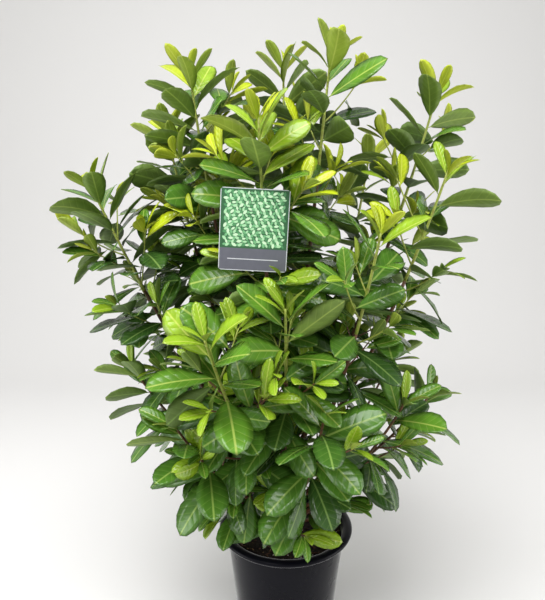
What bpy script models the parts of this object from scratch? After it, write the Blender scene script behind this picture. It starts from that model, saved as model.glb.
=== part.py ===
"""Cherry laurel in a round nursery pot, at its real size: metres, +Z up.

The origin is the middle of the pot's flat underside and -Y is the front. A short
woody trunk stands on the potting soil. Shoots leave it on all sides, each along one
curve. The bare lower part of an upper shoot is a bough, and its leafy part is a mass.
Low shoots are leafy from the trunk on. One rule makes every mass: side twigs and
leaves sit round the stem at a fixed turn, point up at its tip, and spread and droop
further down. A leaf that would touch another piece turns a little or is left out, so
every mass keeps to its own space.
"""

import math
import random

import bmesh
import bpy
from mathutils import Matrix, Vector
from mathutils.bvhtree import BVHTree

SEED = 11
CLEAR = 0.0003
UP = Vector((0.0, 0.0, 1.0))

POT_HEIGHT = 0.284
POT_RIM_RADIUS = 0.170
POT_MOUTH_RADIUS = 0.147
POT_NECK_RADIUS = 0.150
POT_FOOT_RADIUS = 0.1215
POT_WALL = 0.003
POT_FOOT_ROUND = 0.004
LIP_HEIGHT = 0.015
LIP_TURNS = (-70, -40, -10, 20, 55, 90, 125, 155)
POT_SIDES = 36
SOIL_TOP = 0.262
SOIL_MOUND = 0.006
SOIL_SHOULDER = 0.7
SOIL_SHOULDER_DROP = 0.0015
SOIL_LEVEL_RADIUS = 0.046

TRUNK_TOP = 0.56
TRUNK_LEAN = Vector((0.012, -0.008, 0.0))
TRUNK_FOOT_RADIUS = 0.0190
TRUNK_TIP_RADIUS = 0.0085
FLARE = 0.012
FLARE_HEIGHT = 0.022
FLARE_STEPS = (0.0, 0.005, 0.012, FLARE_HEIGHT)
TRUNK_STEPS = 4
TRUNK_SIDES = 10

BOUGH_FOOT_RADIUS = 0.0068
BOUGH_TIP_RADIUS = 0.0050
STEM_FOOT_RADIUS = 0.0048
STEM_TIP_RADIUS = 0.0028
TWIG_RADIUS = 0.0026
TWIG_SECTIONS = (0.6, 1.0, 0.7)
BOUGH_SIDES = 6
STEM_SIDES = 4
LOOP_SIDES = 8
TWIG_SIDES = 3
PATH_POINTS = 13
ELBOW = 1.3
ELBOW_LENGTH = 1.5
BEND_SHARE = 0.45
BOW_SAG = 0.5
BOUGH_GAP = 0.0004
BOUGH_POINTS = 5
STEM_POINTS = 7

# Name, azimuth, foot height, reach and height of the stem's tip, bow, side twigs.
# A foot height of None grows on from the trunk's tip.
UPPER_SHOOTS = [
    ("top", 345, None, 0.095, 1.410, 0.02, 3),
    ("back_top", 94, 0.510, 0.115, 1.410, 0.05, 3),
    ("left_top", 175, 0.470, 0.220, 1.375, 0.05, 4),
    ("right_top", 10, 0.480, 0.355, 1.345, 0.05, 4),
    ("bright", 249, 0.450, 0.172, 1.262, 0.05, 4),
    ("left_upper", 158, 0.410, 0.315, 1.260, 0.06, 4),
    ("far_left", 178, 0.370, 0.455, 1.130, 0.05, 4),
    ("right", 344, 0.415, 0.350, 1.160, 0.05, 4),
    ("front_right", 308, 0.375, 0.285, 1.040, 0.05, 4),
    ("front_left", 243, 0.345, 0.350, 0.850, 0.04, 3),
    ("front", 268, 0.395, 0.270, 0.900, 0.05, 3),
    ("back_right", 48, 0.430, 0.340, 1.210, 0.05, 4),
    ("back", 84, 0.385, 0.370, 1.010, 0.05, 3),
    ("back_left", 124, 0.445, 0.350, 1.130, 0.05, 4),
]
LOWER_SHOOTS = [
    ("low_right", 354, 0.345, 0.345, 0.640, 0.05, 2),
    ("low_left", 185, 0.320, 0.370, 0.710, 0.05, 2),
    ("low_front", 283, 0.325, 0.300, 0.700, 0.05, 2),
    ("low_back", 102, 0.325, 0.330, 0.700, 0.05, 2),
    ("low_back_right", 30, 0.315, 0.350, 0.690, 0.05, 2),
    ("low_back_left", 146, 0.345, 0.350, 0.720, 0.05, 2),
    ("low_front_left", 222, 0.315, 0.320, 0.640, 0.05, 2),
    ("low_front_right", 322, 0.315, 0.310, 0.680, 0.05, 2),
]
BARE_SHARE = 0.38
UPPER_LEAFLESS = 0.03
LOWER_LEAFLESS = 0.30

# The skirt of short shoots over the pot, evenly round the foot of the trunk.
SKIRT_COUNT = 7
SKIRT_START = 8.0
SKIRT_FOOT = 0.290
SKIRT_REACH = 0.165
SKIRT_TIP = 0.410
SKIRT_BOW = 0.03
SKIRT_LEAFLESS = 0.35

TURN = math.radians(137.5)
LEAF_SPACING = 0.049
LEAF_LENGTH = 0.132
TIP_LEAF_LENGTH = 0.092
LEAF_WIDTH_SHARE = 0.44
YOUNG_WIDTH_SHARE = 0.72
LEAF_WIDEST = 0.56
LEAF_THICK = 0.0022
LEAF_FOLD = 0.13
LENGTH_RANGE = (0.85, 1.12)
YOUNG_AGE = 0.2
LAST_LEAF = 0.992
LEAF_CROWDING = 1.15
FEWEST_LEAVES = 4
TIP_SPREAD = math.radians(26)
LOW_SPREAD = math.radians(70)
SPREAD_AGE = 0.5
SPREAD_POWER = 0.7
DROOP_BY_AGE = 1.5
FACE_AHEAD = 0.5
FACE_UP = 0.8
LEAF_DROOP = 0.35
SKIRT_DROOP = 0.65
TWIG_LENGTH = 0.110
TWIG_RANGE = (0.8, 1.2)
TWIG_LIFT = 0.2
TWIG_TURN_RANGE = (0.0, 0.8)
TWIG_PLACE = 0.4
TWIG_OWN_START = 0.2
TWIG_OLDEST = 0.5
TWIG_SPREAD = math.radians(50)
TWIG_HIGHEST = 0.72
TWIG_LEAFLESS = 0.45
SWINGS = (0.0, 0.4, -0.4, 0.8, -0.8, 1.2, -1.2)
KEEP_OFF = 0.0016
OWN_START = 0.24
KEEP_OFF_LENGTH = 1.015
KEEP_OFF_WIDTH = 1.06

CARD_WIDTH = 0.136
CARD_HEIGHT = 0.162
CARD_THICK = 0.0012
CARD_CORNER = 0.006
CARD_TURN = math.radians(3)
CARD_SHIFT = -0.011
CARD_FORWARD = 0.050
HANG_SHARE = 0.71
STRAP_WIDTH = 0.012
STRAP_THICK = 0.0014
LOOP_WALL = 0.0016
LOOP_HEIGHT = 0.010
LOOP_GAP = 0.0005
STRAP_SUNK = 0.45

FINISHES = {
    "pot": ((0.020, 0.021, 0.027), 0.42),
    "soil": ((0.030, 0.017, 0.011), 0.95),
    "bark": ((0.105, 0.052, 0.030), 0.75),
    "foliage": ((0.045, 0.130, 0.022), 0.38),
    "label": ((0.240, 0.420, 0.270), 0.35),
}


def clear_scene():
    for old in list(bpy.data.objects):
        bpy.data.objects.remove(old)


def material(name):
    made = bpy.data.materials.get(name)
    if made is None:
        colour, roughness = FINISHES[name]
        made = bpy.data.materials.new(name)
        made.use_nodes = True
        shader = made.node_tree.nodes["Principled BSDF"]
        shader.inputs["Base Color"].default_value = (*colour, 1.0)
        shader.inputs["Roughness"].default_value = roughness
    return made


def add_object(name, mesh, finish):
    made = bpy.data.objects.new(name, mesh)
    bpy.context.scene.collection.objects.link(made)
    mesh.materials.clear()
    mesh.materials.append(material(finish))
    return made


def mesh_of(name, shape):
    points, faces = shape
    mesh = bpy.data.meshes.new(name)
    mesh.from_pydata([tuple(p) for p in points], [], faces)
    mesh.update()
    return mesh


def shape_of(made):
    points = [vertex.co.copy() for vertex in made.data.vertices]
    return points, [tuple(face.vertices) for face in made.data.polygons]


def polar(azimuth, reach, height):
    angle = math.radians(azimuth)
    return Vector((reach * math.cos(angle), reach * math.sin(angle), height))


def mix(a, b, share):
    return a + (b - a) * share


def curve(start, bend, end, count):
    """Points of a quadratic curve."""
    shares = [i / (count - 1) for i in range(count)]
    return [start * (1 - t) ** 2 + bend * 2 * t * (1 - t) + end * t * t for t in shares]


def length_of(points):
    return sum((b - a).length for a, b in zip(points, points[1:]))


def along(points, share):
    """The point and the direction at a share of a polyline's length."""
    left = share * length_of(points)
    for a, b in zip(points, points[1:]):
        length = (b - a).length
        if left <= length or b is points[-1]:
            return a.lerp(b, min(1.0, left / length)), (b - a).normalized()
        left -= length


def part_of(points, first, last, count):
    """The stretch of a polyline between two shares of its length, in new points."""
    return [along(points, mix(first, last, i / (count - 1)))[0] for i in range(count)]


def taper(foot, tip, count):
    return [mix(foot, tip, i / (count - 1)) for i in range(count)]


def tube(points, radii, sides):
    """Points and faces of a closed tapering tube along a polyline."""
    rings = []
    across = (points[1] - points[0]).cross(Vector((0.31, 0.87, 0.38)))
    for i, (centre, radius) in enumerate(zip(points, radii)):
        ahead = points[min(i + 1, len(points) - 1)] - points[max(i - 1, 0)]
        ahead.normalize()
        across = (across - ahead * across.dot(ahead)).normalized()
        other = ahead.cross(across)
        for k in range(sides):
            angle = 2 * math.pi * k / sides
            spoke = across * math.cos(angle) + other * math.sin(angle)
            rings.append(centre + spoke * radius)
    faces = [tuple(reversed(range(sides)))]
    for i in range(len(points) - 1):
        for k in range(sides):
            a = i * sides + k
            b = i * sides + (k + 1) % sides
            faces.append((a, b, b + sides, a + sides))
    last = (len(points) - 1) * sides
    faces.append(tuple(range(last, last + sides)))
    return rings, faces


def turned(name, profile, finish):
    """A closed solid turned from (radius, height) points that start and end on the axis."""
    shape = bmesh.new()
    points = [shape.verts.new((radius, 0.0, height)) for radius, height in profile]
    edges = [shape.edges.new(pair) for pair in zip(points, points[1:])]
    bmesh.ops.spin(
        shape, geom=points + edges, cent=(0, 0, 0), axis=(0, 0, 1),
        angle=2 * math.pi, steps=POT_SIDES,
    )
    bmesh.ops.remove_doubles(shape, verts=shape.verts, dist=1e-6)
    bmesh.ops.recalc_face_normals(shape, faces=shape.faces)
    mesh = bpy.data.meshes.new(name)
    shape.to_mesh(mesh)
    shape.free()
    return add_object(name, mesh, finish)


def pot_radius(height):
    return mix(POT_FOOT_RADIUS, POT_NECK_RADIUS, height / (POT_HEIGHT - LIP_HEIGHT))


def lip_points():
    """The rolled lip's outline, from its underside over the rim to the mouth."""
    middle = (POT_RIM_RADIUS + POT_MOUTH_RADIUS) / 2
    half_width = (POT_RIM_RADIUS - POT_MOUTH_RADIUS) / 2
    centre = POT_HEIGHT - LIP_HEIGHT / 2
    angles = [math.radians(turn) for turn in LIP_TURNS]
    return [
        (middle + half_width * math.cos(a), centre + LIP_HEIGHT / 2 * math.sin(a))
        for a in angles
    ]


def make_pot():
    neck = POT_HEIGHT - LIP_HEIGHT
    outer = [
        (0.0, 0.0),
        (POT_FOOT_RADIUS - POT_FOOT_ROUND, 0.0),
        (POT_FOOT_RADIUS, POT_FOOT_ROUND),
        (POT_NECK_RADIUS, neck),
    ]
    inner = [
        (pot_radius(SOIL_TOP) - POT_WALL, SOIL_TOP),
        (POT_FOOT_RADIUS - POT_WALL, POT_WALL),
        (0.0, POT_WALL),
    ]
    return turned("pot", outer + lip_points() + inner, "pot")


def make_soil():
    floor = POT_WALL + CLEAR
    gap = POT_WALL + CLEAR * 3
    edge = SOIL_TOP - SOIL_MOUND
    profile = [
        (0.0, floor),
        (POT_FOOT_RADIUS - gap, floor),
        (pot_radius(edge) - gap, edge),
        (pot_radius(edge) * SOIL_SHOULDER, SOIL_TOP - SOIL_SHOULDER_DROP),
        (SOIL_LEVEL_RADIUS, SOIL_TOP),
        (0.0, SOIL_TOP),
    ]
    return turned("soil", profile, "soil")


def trunk_share(height):
    return (height - SOIL_TOP) / (TRUNK_TOP - SOIL_TOP)


def trunk_centre(height):
    return TRUNK_LEAN * trunk_share(height) + UP * height


def trunk_radius(height):
    flare = FLARE * max(0.0, 1 - (height - SOIL_TOP) / FLARE_HEIGHT) ** 2
    return mix(TRUNK_FOOT_RADIUS, TRUNK_TIP_RADIUS, trunk_share(height)) + flare


def make_trunk():
    foot = SOIL_TOP + CLEAR
    heights = [foot + step for step in FLARE_STEPS]
    heights += [mix(heights[-1], TRUNK_TOP, i / TRUNK_STEPS) for i in range(1, TRUNK_STEPS + 1)]
    points = [trunk_centre(h) for h in heights]
    shape = tube(points, [trunk_radius(h) for h in heights], TRUNK_SIDES)
    for i, point in enumerate(shape[0]):
        point.z = heights[i // TRUNK_SIDES]
    return add_object("trunk", mesh_of("trunk", shape), "bark")


def bark_reach(bark, way, height):
    """How far the trunk's faceted bark reaches towards one side at a height."""
    for i in range(0, len(bark) - TRUNK_SIDES, TRUNK_SIDES):
        low = bark[i:i + TRUNK_SIDES]
        high = bark[i + TRUNK_SIDES:i + 2 * TRUNK_SIDES]
        if low[0].z <= height <= high[0].z:
            share = (height - low[0].z) / (high[0].z - low[0].z)
            return max(a.lerp(b, share).dot(way) for a, b in zip(low, high))


def shoot_curve(bark, azimuth, foot, reach, height, bow, radius):
    """A shoot's seat on the trunk, the way its end faces there, and its curve."""
    end = polar(azimuth, reach, height)
    if foot is None:
        seat = trunk_centre(TRUNK_TOP) + UP * CLEAR
        return seat, UP, curve(seat, seat.lerp(end, BEND_SHARE), end, PATH_POINTS)
    way = polar(azimuth, 1.0, 0.0)
    off = max(bark_reach(bark, way, foot + lift) for lift in (-radius, 0.0, radius)) + CLEAR
    middle = trunk_centre(foot)
    seat = middle + way * (off - middle.dot(way))
    elbow = seat + (way + UP) * radius * ELBOW
    bend = elbow.lerp(end, BEND_SHARE) + polar(azimuth, bow, -bow * BOW_SAG)
    return seat, way, [seat] + curve(elbow, bend, end, PATH_POINTS)


def seated(shape, sides, seat, way):
    """Slide a tube's first ring along the tube onto the plane through its seat."""
    points, faces = shape
    centre = sum(points[:sides], Vector()) / sides
    ahead = (sum(points[sides:2 * sides], Vector()) / sides - centre).normalized()
    for point in points[:sides]:
        point += ahead * ((seat - point).dot(way) / ahead.dot(way))
    return points, faces


def leaf_shape(root, way, face, length, width, thick, start=0.0):
    """Seven points and ten faces: a blade folded along its midrib, on a root edge."""
    side = way.cross(face).normalized()
    face = side.cross(way).normalized()
    half = thick / 2
    base = root + way * (length * start)
    rib = root + way * (length * LEAF_WIDEST)
    lift = face * (width * LEAF_FOLD)
    points = [
        base + face * half,
        base - face * half,
        rib - side * (width / 2) + lift,
        rib + side * (width / 2) + lift,
        rib + face * half,
        rib - face * half,
        root + way * length,
    ]
    faces = [
        (0, 4, 2), (0, 3, 4), (4, 6, 2), (4, 3, 6),
        (1, 2, 5), (1, 5, 3), (5, 2, 6), (5, 6, 3),
        (0, 2, 1), (0, 1, 3),
    ]
    return points, faces


def limits(points):
    low = [min(p[i] for p in points) for i in range(3)]
    high = [max(p[i] for p in points) for i in range(3)]
    return low, high


class Space:
    """What is already built, so that a new twig or leaf can keep clear of it."""

    def __init__(self):
        self.taken = []

    def add(self, owner, shape):
        low, high = limits(shape[0])
        self.taken.append((owner, low, high, BVHTree.FromPolygons(*shape)))

    def is_free(self, owner, wide, narrow):
        """True if the wide shape misses all others and the narrow one its own mass."""
        low, high = limits(wide[0])
        trees = None
        for holder, other_low, other_high, other in self.taken:
            if any(low[i] > other_high[i] or high[i] < other_low[i] for i in range(3)):
                continue
            if trees is None:
                trees = BVHTree.FromPolygons(*wide), BVHTree.FromPolygons(*narrow)
            if (trees[1] if holder == owner else trees[0]).overlap(other):
                return False
        return True


def side_twigs(owner, stem, first, count, space, luck):
    """Side twigs at a fixed turn round a stem, as (curve, shape), roots inside it."""
    twigs = []
    for i in range(count):
        root, ahead = along(stem, mix(first, TWIG_HIGHEST, (i + TWIG_PLACE) / count))
        turn = TURN * (2 * i + 1) + luck.uniform(*TWIG_TURN_RANGE)
        across = Matrix.Rotation(turn, 3, ahead) @ ahead.orthogonal().normalized()
        way = ahead * math.cos(TWIG_SPREAD) + across * math.sin(TWIG_SPREAD)
        reach = TWIG_LENGTH * luck.uniform(*TWIG_RANGE)
        end = root + way * reach + UP * reach * TWIG_LIFT
        points = curve(root, root + way * reach / 2, end, len(TWIG_SECTIONS))
        shape = tube(points, [TWIG_RADIUS * share for share in TWIG_SECTIONS], TWIG_SIDES)
        free_part = part_of(points, TWIG_OWN_START, 1.0, len(points))
        check = tube(free_part, (TWIG_RADIUS + KEEP_OFF,) * len(points), STEM_SIDES)
        if space.is_free(owner, check, check):
            space.add(owner, shape)
            twigs.append((points, shape))
    return twigs


def leaf_way(ahead, across, age, droop):
    """A leaf's direction: up the stem at its tip, spread and drooping when older."""
    spread = mix(TIP_SPREAD, LOW_SPREAD, min(1.0, age / SPREAD_AGE) ** SPREAD_POWER)
    way = ahead * math.cos(spread) + across * math.sin(spread)
    return (way - UP * droop * min(1.0, max(droop, age * DROOP_BY_AGE))).normalized()


def place_leaf(owner, stem, share, age, turn, droop, space, luck):
    """The first leaf round one place on a stem that keeps clear, or None."""
    root, ahead = along(stem, share)
    young = max(0.0, 1 - age / YOUNG_AGE)
    length = mix(LEAF_LENGTH, TIP_LEAF_LENGTH, young) * luck.uniform(*LENGTH_RANGE)
    width = length * LEAF_WIDTH_SHARE * mix(1.0, YOUNG_WIDTH_SHARE, young)
    face = ahead * FACE_AHEAD + UP * FACE_UP
    guard = LEAF_THICK + KEEP_OFF
    for swing in SWINGS:
        across = Matrix.Rotation(turn + swing, 3, ahead) @ ahead.orthogonal().normalized()
        way = leaf_way(ahead, across, age, droop)
        outline = length * KEEP_OFF_LENGTH, width * KEEP_OFF_WIDTH
        wide = leaf_shape(root, way, face, *outline, guard)
        narrow = leaf_shape(root, way, face, length, width, guard, OWN_START)
        if space.is_free(owner, wide, narrow):
            shape = leaf_shape(root, way, face, length, width, LEAF_THICK)
            space.add(owner, shape)
            return shape
    return None


def mass_leaves(owner, stem, first, twigs, droop, space, luck):
    """The leaves of one mass, on its stem and then on its side twigs."""
    leaves = []
    carriers = [(stem, first, 1.0)]
    carriers += [(points, TWIG_LEAFLESS, TWIG_OLDEST) for points, _ in twigs]
    for points, start, oldest in carriers:
        count = max(FEWEST_LEAVES, round(length_of(points) * (1 - start) / LEAF_SPACING))
        turn = luck.uniform(0, 2 * math.pi)
        for k in range(count):
            step = k / (count - 1)
            share = mix(LAST_LEAF, start, step ** LEAF_CROWDING)
            leaf = place_leaf(owner, points, share, oldest * step, turn, droop, space, luck)
            turn += TURN
            if leaf:
                leaves.append(leaf)
    return leaves


def keep_largest_piece(mesh):
    shape = bmesh.new()
    shape.from_mesh(mesh)
    left = set(shape.verts)
    pieces = []
    while left:
        reached = [left.pop()]
        piece = []
        while reached:
            vertex = reached.pop()
            piece.append(vertex)
            near = {end for edge in vertex.link_edges for end in edge.verts} & left
            left -= near
            reached.extend(near)
        pieces.append(piece)
    pieces.sort(key=len)
    for piece in pieces[:-1]:
        bmesh.ops.delete(shape, geom=piece, context="VERTS")
    shape.to_mesh(mesh)
    shape.free()


def join_pieces(name, base, shapes, finish):
    """One closed solid from a base shape and the shapes that are sunk into it."""
    made = add_object(name, mesh_of(name, base), finish)
    added = bpy.data.collections.new(name + "_added")
    bpy.context.scene.collection.children.link(added)
    for shape in shapes:
        piece = bpy.data.objects.new(name + "_piece", mesh_of(name + "_piece", shape))
        added.objects.link(piece)
    union = made.modifiers.new("union", "BOOLEAN")
    union.operand_type = "COLLECTION"
    union.collection = added
    union.operation = "UNION"
    union.solver = "EXACT"
    bpy.context.view_layer.objects.active = made
    bpy.ops.object.modifier_apply(modifier=union.name)
    for piece in list(added.objects):
        bpy.data.objects.remove(piece)
    bpy.data.collections.remove(added)
    keep_largest_piece(made.data)
    made.data.materials.clear()
    made.data.materials.append(material(finish))
    return made


def card_outline():
    """The rounded card in its own plane, hanging down from the origin."""
    outline = []
    across = CARD_WIDTH / 2 - CARD_CORNER
    down = CARD_CORNER - CARD_HEIGHT
    corners = [(across, -CARD_CORNER, 90), (across, down, 0)]
    corners += [(-across, down, -90), (-across, -CARD_CORNER, 180)]
    for x, z, start in corners:
        for step in range(4):
            angle = math.radians(start - step * 30)
            outline.append((x + CARD_CORNER * math.cos(angle), z + CARD_CORNER * math.sin(angle)))
    return outline


def card_shape(place):
    """The card as a flat slab facing the front, put in place by a matrix."""
    outline = card_outline()
    count = len(outline)
    half = CARD_THICK / 2
    points = [place @ Vector((x, y, z)) for y in (-half, half) for x, z in outline]
    faces = [tuple(reversed(range(count))), tuple(range(count, 2 * count))]
    for k in range(count):
        after = (k + 1) % count
        faces.append((k, after, count + after, count + k))
    return points, faces


def box_shape(low, high):
    ends = list(zip(low, high))
    points = [Vector((x, y, z)) for z in ends[2] for y in ends[1] for x in ends[0]]
    faces = [(0, 2, 3, 1), (4, 5, 7, 6), (0, 1, 5, 4), (2, 6, 7, 3), (0, 4, 6, 2), (1, 3, 7, 5)]
    return points, faces


def loop_shape(centre, ahead, inner):
    """A short closed pipe round a stem."""
    ends = [centre - ahead * LOOP_HEIGHT / 2, centre + ahead * LOOP_HEIGHT / 2]
    outer, _ = tube(ends, (inner + LOOP_WALL,) * 2, LOOP_SIDES)
    hole, _ = tube(ends, (inner,) * 2, LOOP_SIDES)
    faces = []
    for k in range(LOOP_SIDES):
        a, b = k, (k + 1) % LOOP_SIDES
        c, d = a + LOOP_SIDES, b + LOOP_SIDES
        far = 2 * LOOP_SIDES
        faces.append((a, b, d, c))
        faces.append((b + far, a + far, c + far, d + far))
        faces.append((b, a, a + far, b + far))
        faces.append((c, d, d + far, c + far))
    return outer + hole, faces


def make_label(stem):
    """A one-piece card label: the card, a strap and a loop round the front stem."""
    root, ahead = along(stem, HANG_SHARE)
    radius = mix(STEM_FOOT_RADIUS, STEM_TIP_RADIUS, HANG_SHARE)
    inner = (radius + LOOP_GAP) / math.cos(math.pi / LOOP_SIDES)
    front = root + Vector((CARD_SHIFT, -CARD_FORWARD, STRAP_WIDTH))
    card = card_shape(Matrix.Translation(front) @ Matrix.Rotation(CARD_TURN, 4, "Y"))
    near = inner + LOOP_WALL * STRAP_SUNK
    low = root + Vector((-STRAP_WIDTH / 2, -CARD_FORWARD, -STRAP_THICK / 2))
    high = root + Vector((STRAP_WIDTH / 2, -near, STRAP_THICK / 2))
    strap = box_shape(low, high)
    return join_pieces("label", card, [strap, loop_shape(root, ahead, inner)], "label")


def plan_shoots(space, bark):
    """Build the boughs and give every mass its stem's points, shape and leafing."""
    plans = []
    for name, azimuth, foot, reach, height, bow, twigs in UPPER_SHOOTS:
        seat, way, whole = shoot_curve(bark, azimuth, foot, reach, height, bow, BOUGH_FOOT_RADIUS)
        elbow_share = BOUGH_FOOT_RADIUS * ELBOW * ELBOW_LENGTH / length_of(whole)
        bough = [seat] + part_of(whole, elbow_share, BARE_SHARE, BOUGH_POINTS)
        radii = taper(BOUGH_FOOT_RADIUS, BOUGH_TIP_RADIUS, len(bough))
        shape = seated(tube(bough, radii, BOUGH_SIDES), BOUGH_SIDES, seat, way)
        add_object("bough_" + name, mesh_of(name, shape), "bark")
        space.add("bough_" + name, shape)
        gap = BOUGH_GAP / length_of(whole)
        stem = part_of(whole, BARE_SHARE + gap, 1.0, STEM_POINTS)
        shape = tube(stem, taper(STEM_FOOT_RADIUS, STEM_TIP_RADIUS, len(stem)), STEM_SIDES)
        plans.append((name, stem, shape, UPPER_LEAFLESS, twigs, LEAF_DROOP))
    low = [shoot + (LOWER_LEAFLESS, LEAF_DROOP) for shoot in LOWER_SHOOTS]
    for i in range(SKIRT_COUNT):
        azimuth = SKIRT_START + 360 * i / SKIRT_COUNT
        low.append((
            f"skirt_{i + 1}", azimuth, SKIRT_FOOT, SKIRT_REACH, SKIRT_TIP, SKIRT_BOW, 0,
            SKIRT_LEAFLESS, SKIRT_DROOP,
        ))
    for name, azimuth, foot, reach, height, bow, twigs, leafless, droop in low:
        seat, way, whole = shoot_curve(bark, azimuth, foot, reach, height, bow, STEM_FOOT_RADIUS)
        elbow_share = STEM_FOOT_RADIUS * ELBOW * ELBOW_LENGTH / length_of(whole)
        stem = [seat] + part_of(whole, elbow_share, 1.0, STEM_POINTS)
        shape = tube(stem, taper(STEM_FOOT_RADIUS, STEM_TIP_RADIUS, len(stem)), STEM_SIDES)
        plans.append((name, stem, seated(shape, STEM_SIDES, seat, way), leafless, twigs, droop))
    return plans


def main():
    clear_scene()
    luck = random.Random(SEED)
    space = Space()
    make_pot()
    make_soil()
    trunk = make_trunk()
    for made in bpy.data.objects:
        space.add(made.name, shape_of(made))
    plans = plan_shoots(space, shape_of(trunk)[0])
    for name, _, shape, _, _, _ in plans:
        space.add("mass_" + name, shape)
    hung = next(plan[1] for plan in plans if plan[0] == "bright")
    space.add("label", shape_of(make_label(hung)))
    twigs = {}
    for name, stem, _, first, count, _ in plans:
        twigs[name] = side_twigs("mass_" + name, stem, first, count, space, luck)
    for name, stem, shape, first, _, droop in plans:
        owner = "mass_" + name
        leaves = mass_leaves(owner, stem, first, twigs[name], droop, space, luck)
        join_pieces(owner, shape, [twig for _, twig in twigs[name]] + leaves, "foliage")


main()
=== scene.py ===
# %% [markdown]
# # A cherry laurel in a nursery pot
# This lesson dresses the imported model of a potted cherry laurel. The imported solids say
# where everything is, and each step here swaps one of them for a piece that looks real:
# pot, compost, bark, stems, leaves and the hanging card. First the frame is loaded and
# its box is kept, so that no leaf reaches far past it.

# %% Load the frame
import math
import random

import bpy
import numpy as np
from mathutils import Matrix, Vector
from mathutils.bvhtree import BVHTree


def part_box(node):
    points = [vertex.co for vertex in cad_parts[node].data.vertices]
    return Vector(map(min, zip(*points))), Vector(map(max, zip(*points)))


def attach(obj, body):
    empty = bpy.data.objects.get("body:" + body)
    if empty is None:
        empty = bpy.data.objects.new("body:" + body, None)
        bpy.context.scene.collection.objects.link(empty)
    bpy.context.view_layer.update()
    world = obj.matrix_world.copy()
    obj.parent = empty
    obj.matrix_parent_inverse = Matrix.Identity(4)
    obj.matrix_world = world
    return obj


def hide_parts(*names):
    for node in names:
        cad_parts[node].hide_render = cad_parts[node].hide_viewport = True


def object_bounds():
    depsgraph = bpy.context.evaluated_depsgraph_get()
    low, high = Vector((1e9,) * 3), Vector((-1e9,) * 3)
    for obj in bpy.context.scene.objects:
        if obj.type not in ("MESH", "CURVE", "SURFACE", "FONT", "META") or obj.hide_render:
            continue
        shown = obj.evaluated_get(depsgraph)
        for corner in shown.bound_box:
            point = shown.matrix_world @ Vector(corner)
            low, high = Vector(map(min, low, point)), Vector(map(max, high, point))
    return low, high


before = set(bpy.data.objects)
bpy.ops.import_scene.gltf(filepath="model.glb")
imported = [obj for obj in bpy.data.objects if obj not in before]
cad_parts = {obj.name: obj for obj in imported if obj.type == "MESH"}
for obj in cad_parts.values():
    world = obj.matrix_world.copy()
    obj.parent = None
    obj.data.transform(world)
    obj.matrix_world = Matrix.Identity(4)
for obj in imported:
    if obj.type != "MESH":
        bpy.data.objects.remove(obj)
cad_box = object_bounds()
print("solid model from", [round(v, 3) for v in cad_box[0]], "to", [round(v, 3) for v in cad_box[1]])

# %% [markdown]
# ## The camera
# The camera stands close to the plant, a little above its middle, and is tilted down.
# A close camera makes near leaves large, so its distance matters as much as its angle.
# The image is 545 by 600 pixels, so Blender's sensor width spans the height.

# %% Camera
CAMERA_PLACE = (-0.034, -1.31, 1.12)
CAMERA_TILT = math.radians(11)
CAMERA_LENS = 33.6

bpy.ops.object.camera_add(location=CAMERA_PLACE, rotation=(math.pi / 2 - CAMERA_TILT, 0, 0))
camera = bpy.context.object
camera.data.lens = CAMERA_LENS
camera.data.sensor_width = 36.0
bpy.context.scene.camera = camera
print("camera at", CAMERA_PLACE, "with a lens of", CAMERA_LENS, "mm")

# %% [markdown]
# ## Helpers
# Colours are picked as sRGB hex codes, the way a paint program shows them, and one
# function turns them to the linear light that Blender works in. One more function adds
# a shader node with its settings and links, which keeps each material's recipe short.

# %% Colours and nodes
def linear(code):
    """A colour for Blender from an sRGB hex code."""
    values = [int(code[i:i + 2], 16) / 255 for i in (0, 2, 4)]
    return [v / 12.92 if v <= 0.04045 else ((v + 0.055) / 1.055) ** 2.4 for v in values] + [1.0]


def node(tree, kind, settings=None, **links):
    """Add a node. Settings are its properties, links fill its inputs by name or number."""
    made = tree.nodes.new(kind)
    for key, value in (settings or {}).items():
        setattr(made, key, value)
    for key, value in links.items():
        name = int(key[1:]) if key[0] == "n" and key[1:].isdigit() else key.replace("_", " ")
        socket = made.inputs[name]
        if isinstance(value, bpy.types.NodeSocket):
            tree.links.new(value, socket)
        else:
            socket.default_value = value
    return made


def new_material(name, **shader_values):
    """A material with its tree and its Principled shader."""
    made = bpy.data.materials.new(name)
    made.use_nodes = True
    shader = made.node_tree.nodes["Principled BSDF"]
    for key, value in shader_values.items():
        shader.inputs[key.replace("_", " ")].default_value = value
    return made, made.node_tree, shader


print("mid grey is", round(linear("808080")[0], 3), "in linear light")

# %% Selecting
def deselect():
    """Leave edit mode and select nothing, so that an operator meets only its own piece."""
    if bpy.context.object and bpy.context.object.mode != "OBJECT":
        bpy.ops.object.mode_set(mode="OBJECT")
    bpy.ops.object.select_all(action="DESELECT")


def edit(piece, action="DESELECT"):
    """Go into edit mode on a piece with all of it, or none of it, selected."""
    bpy.context.view_layer.objects.active = piece
    bpy.ops.object.mode_set(mode="EDIT")
    bpy.ops.mesh.select_all(action=action)


def pick_edges(piece, wanted):
    """Select the edges whose ends both pass a test, ready for the next operator."""
    edit(piece)
    bpy.ops.mesh.select_mode(type="EDGE")
    bpy.ops.object.mode_set(mode="OBJECT")
    points = piece.data.vertices
    for edge in piece.data.edges:
        edge.select = all(wanted(points[v].co) for v in edge.vertices)
    bpy.ops.object.mode_set(mode="EDIT")


# %% Finishing a piece
def face_outwards(piece):
    """Turn every face of a closed piece outwards."""
    edit(piece, "SELECT")
    bpy.ops.mesh.normals_make_consistent(inside=False)
    bpy.ops.object.mode_set(mode="OBJECT")


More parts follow.
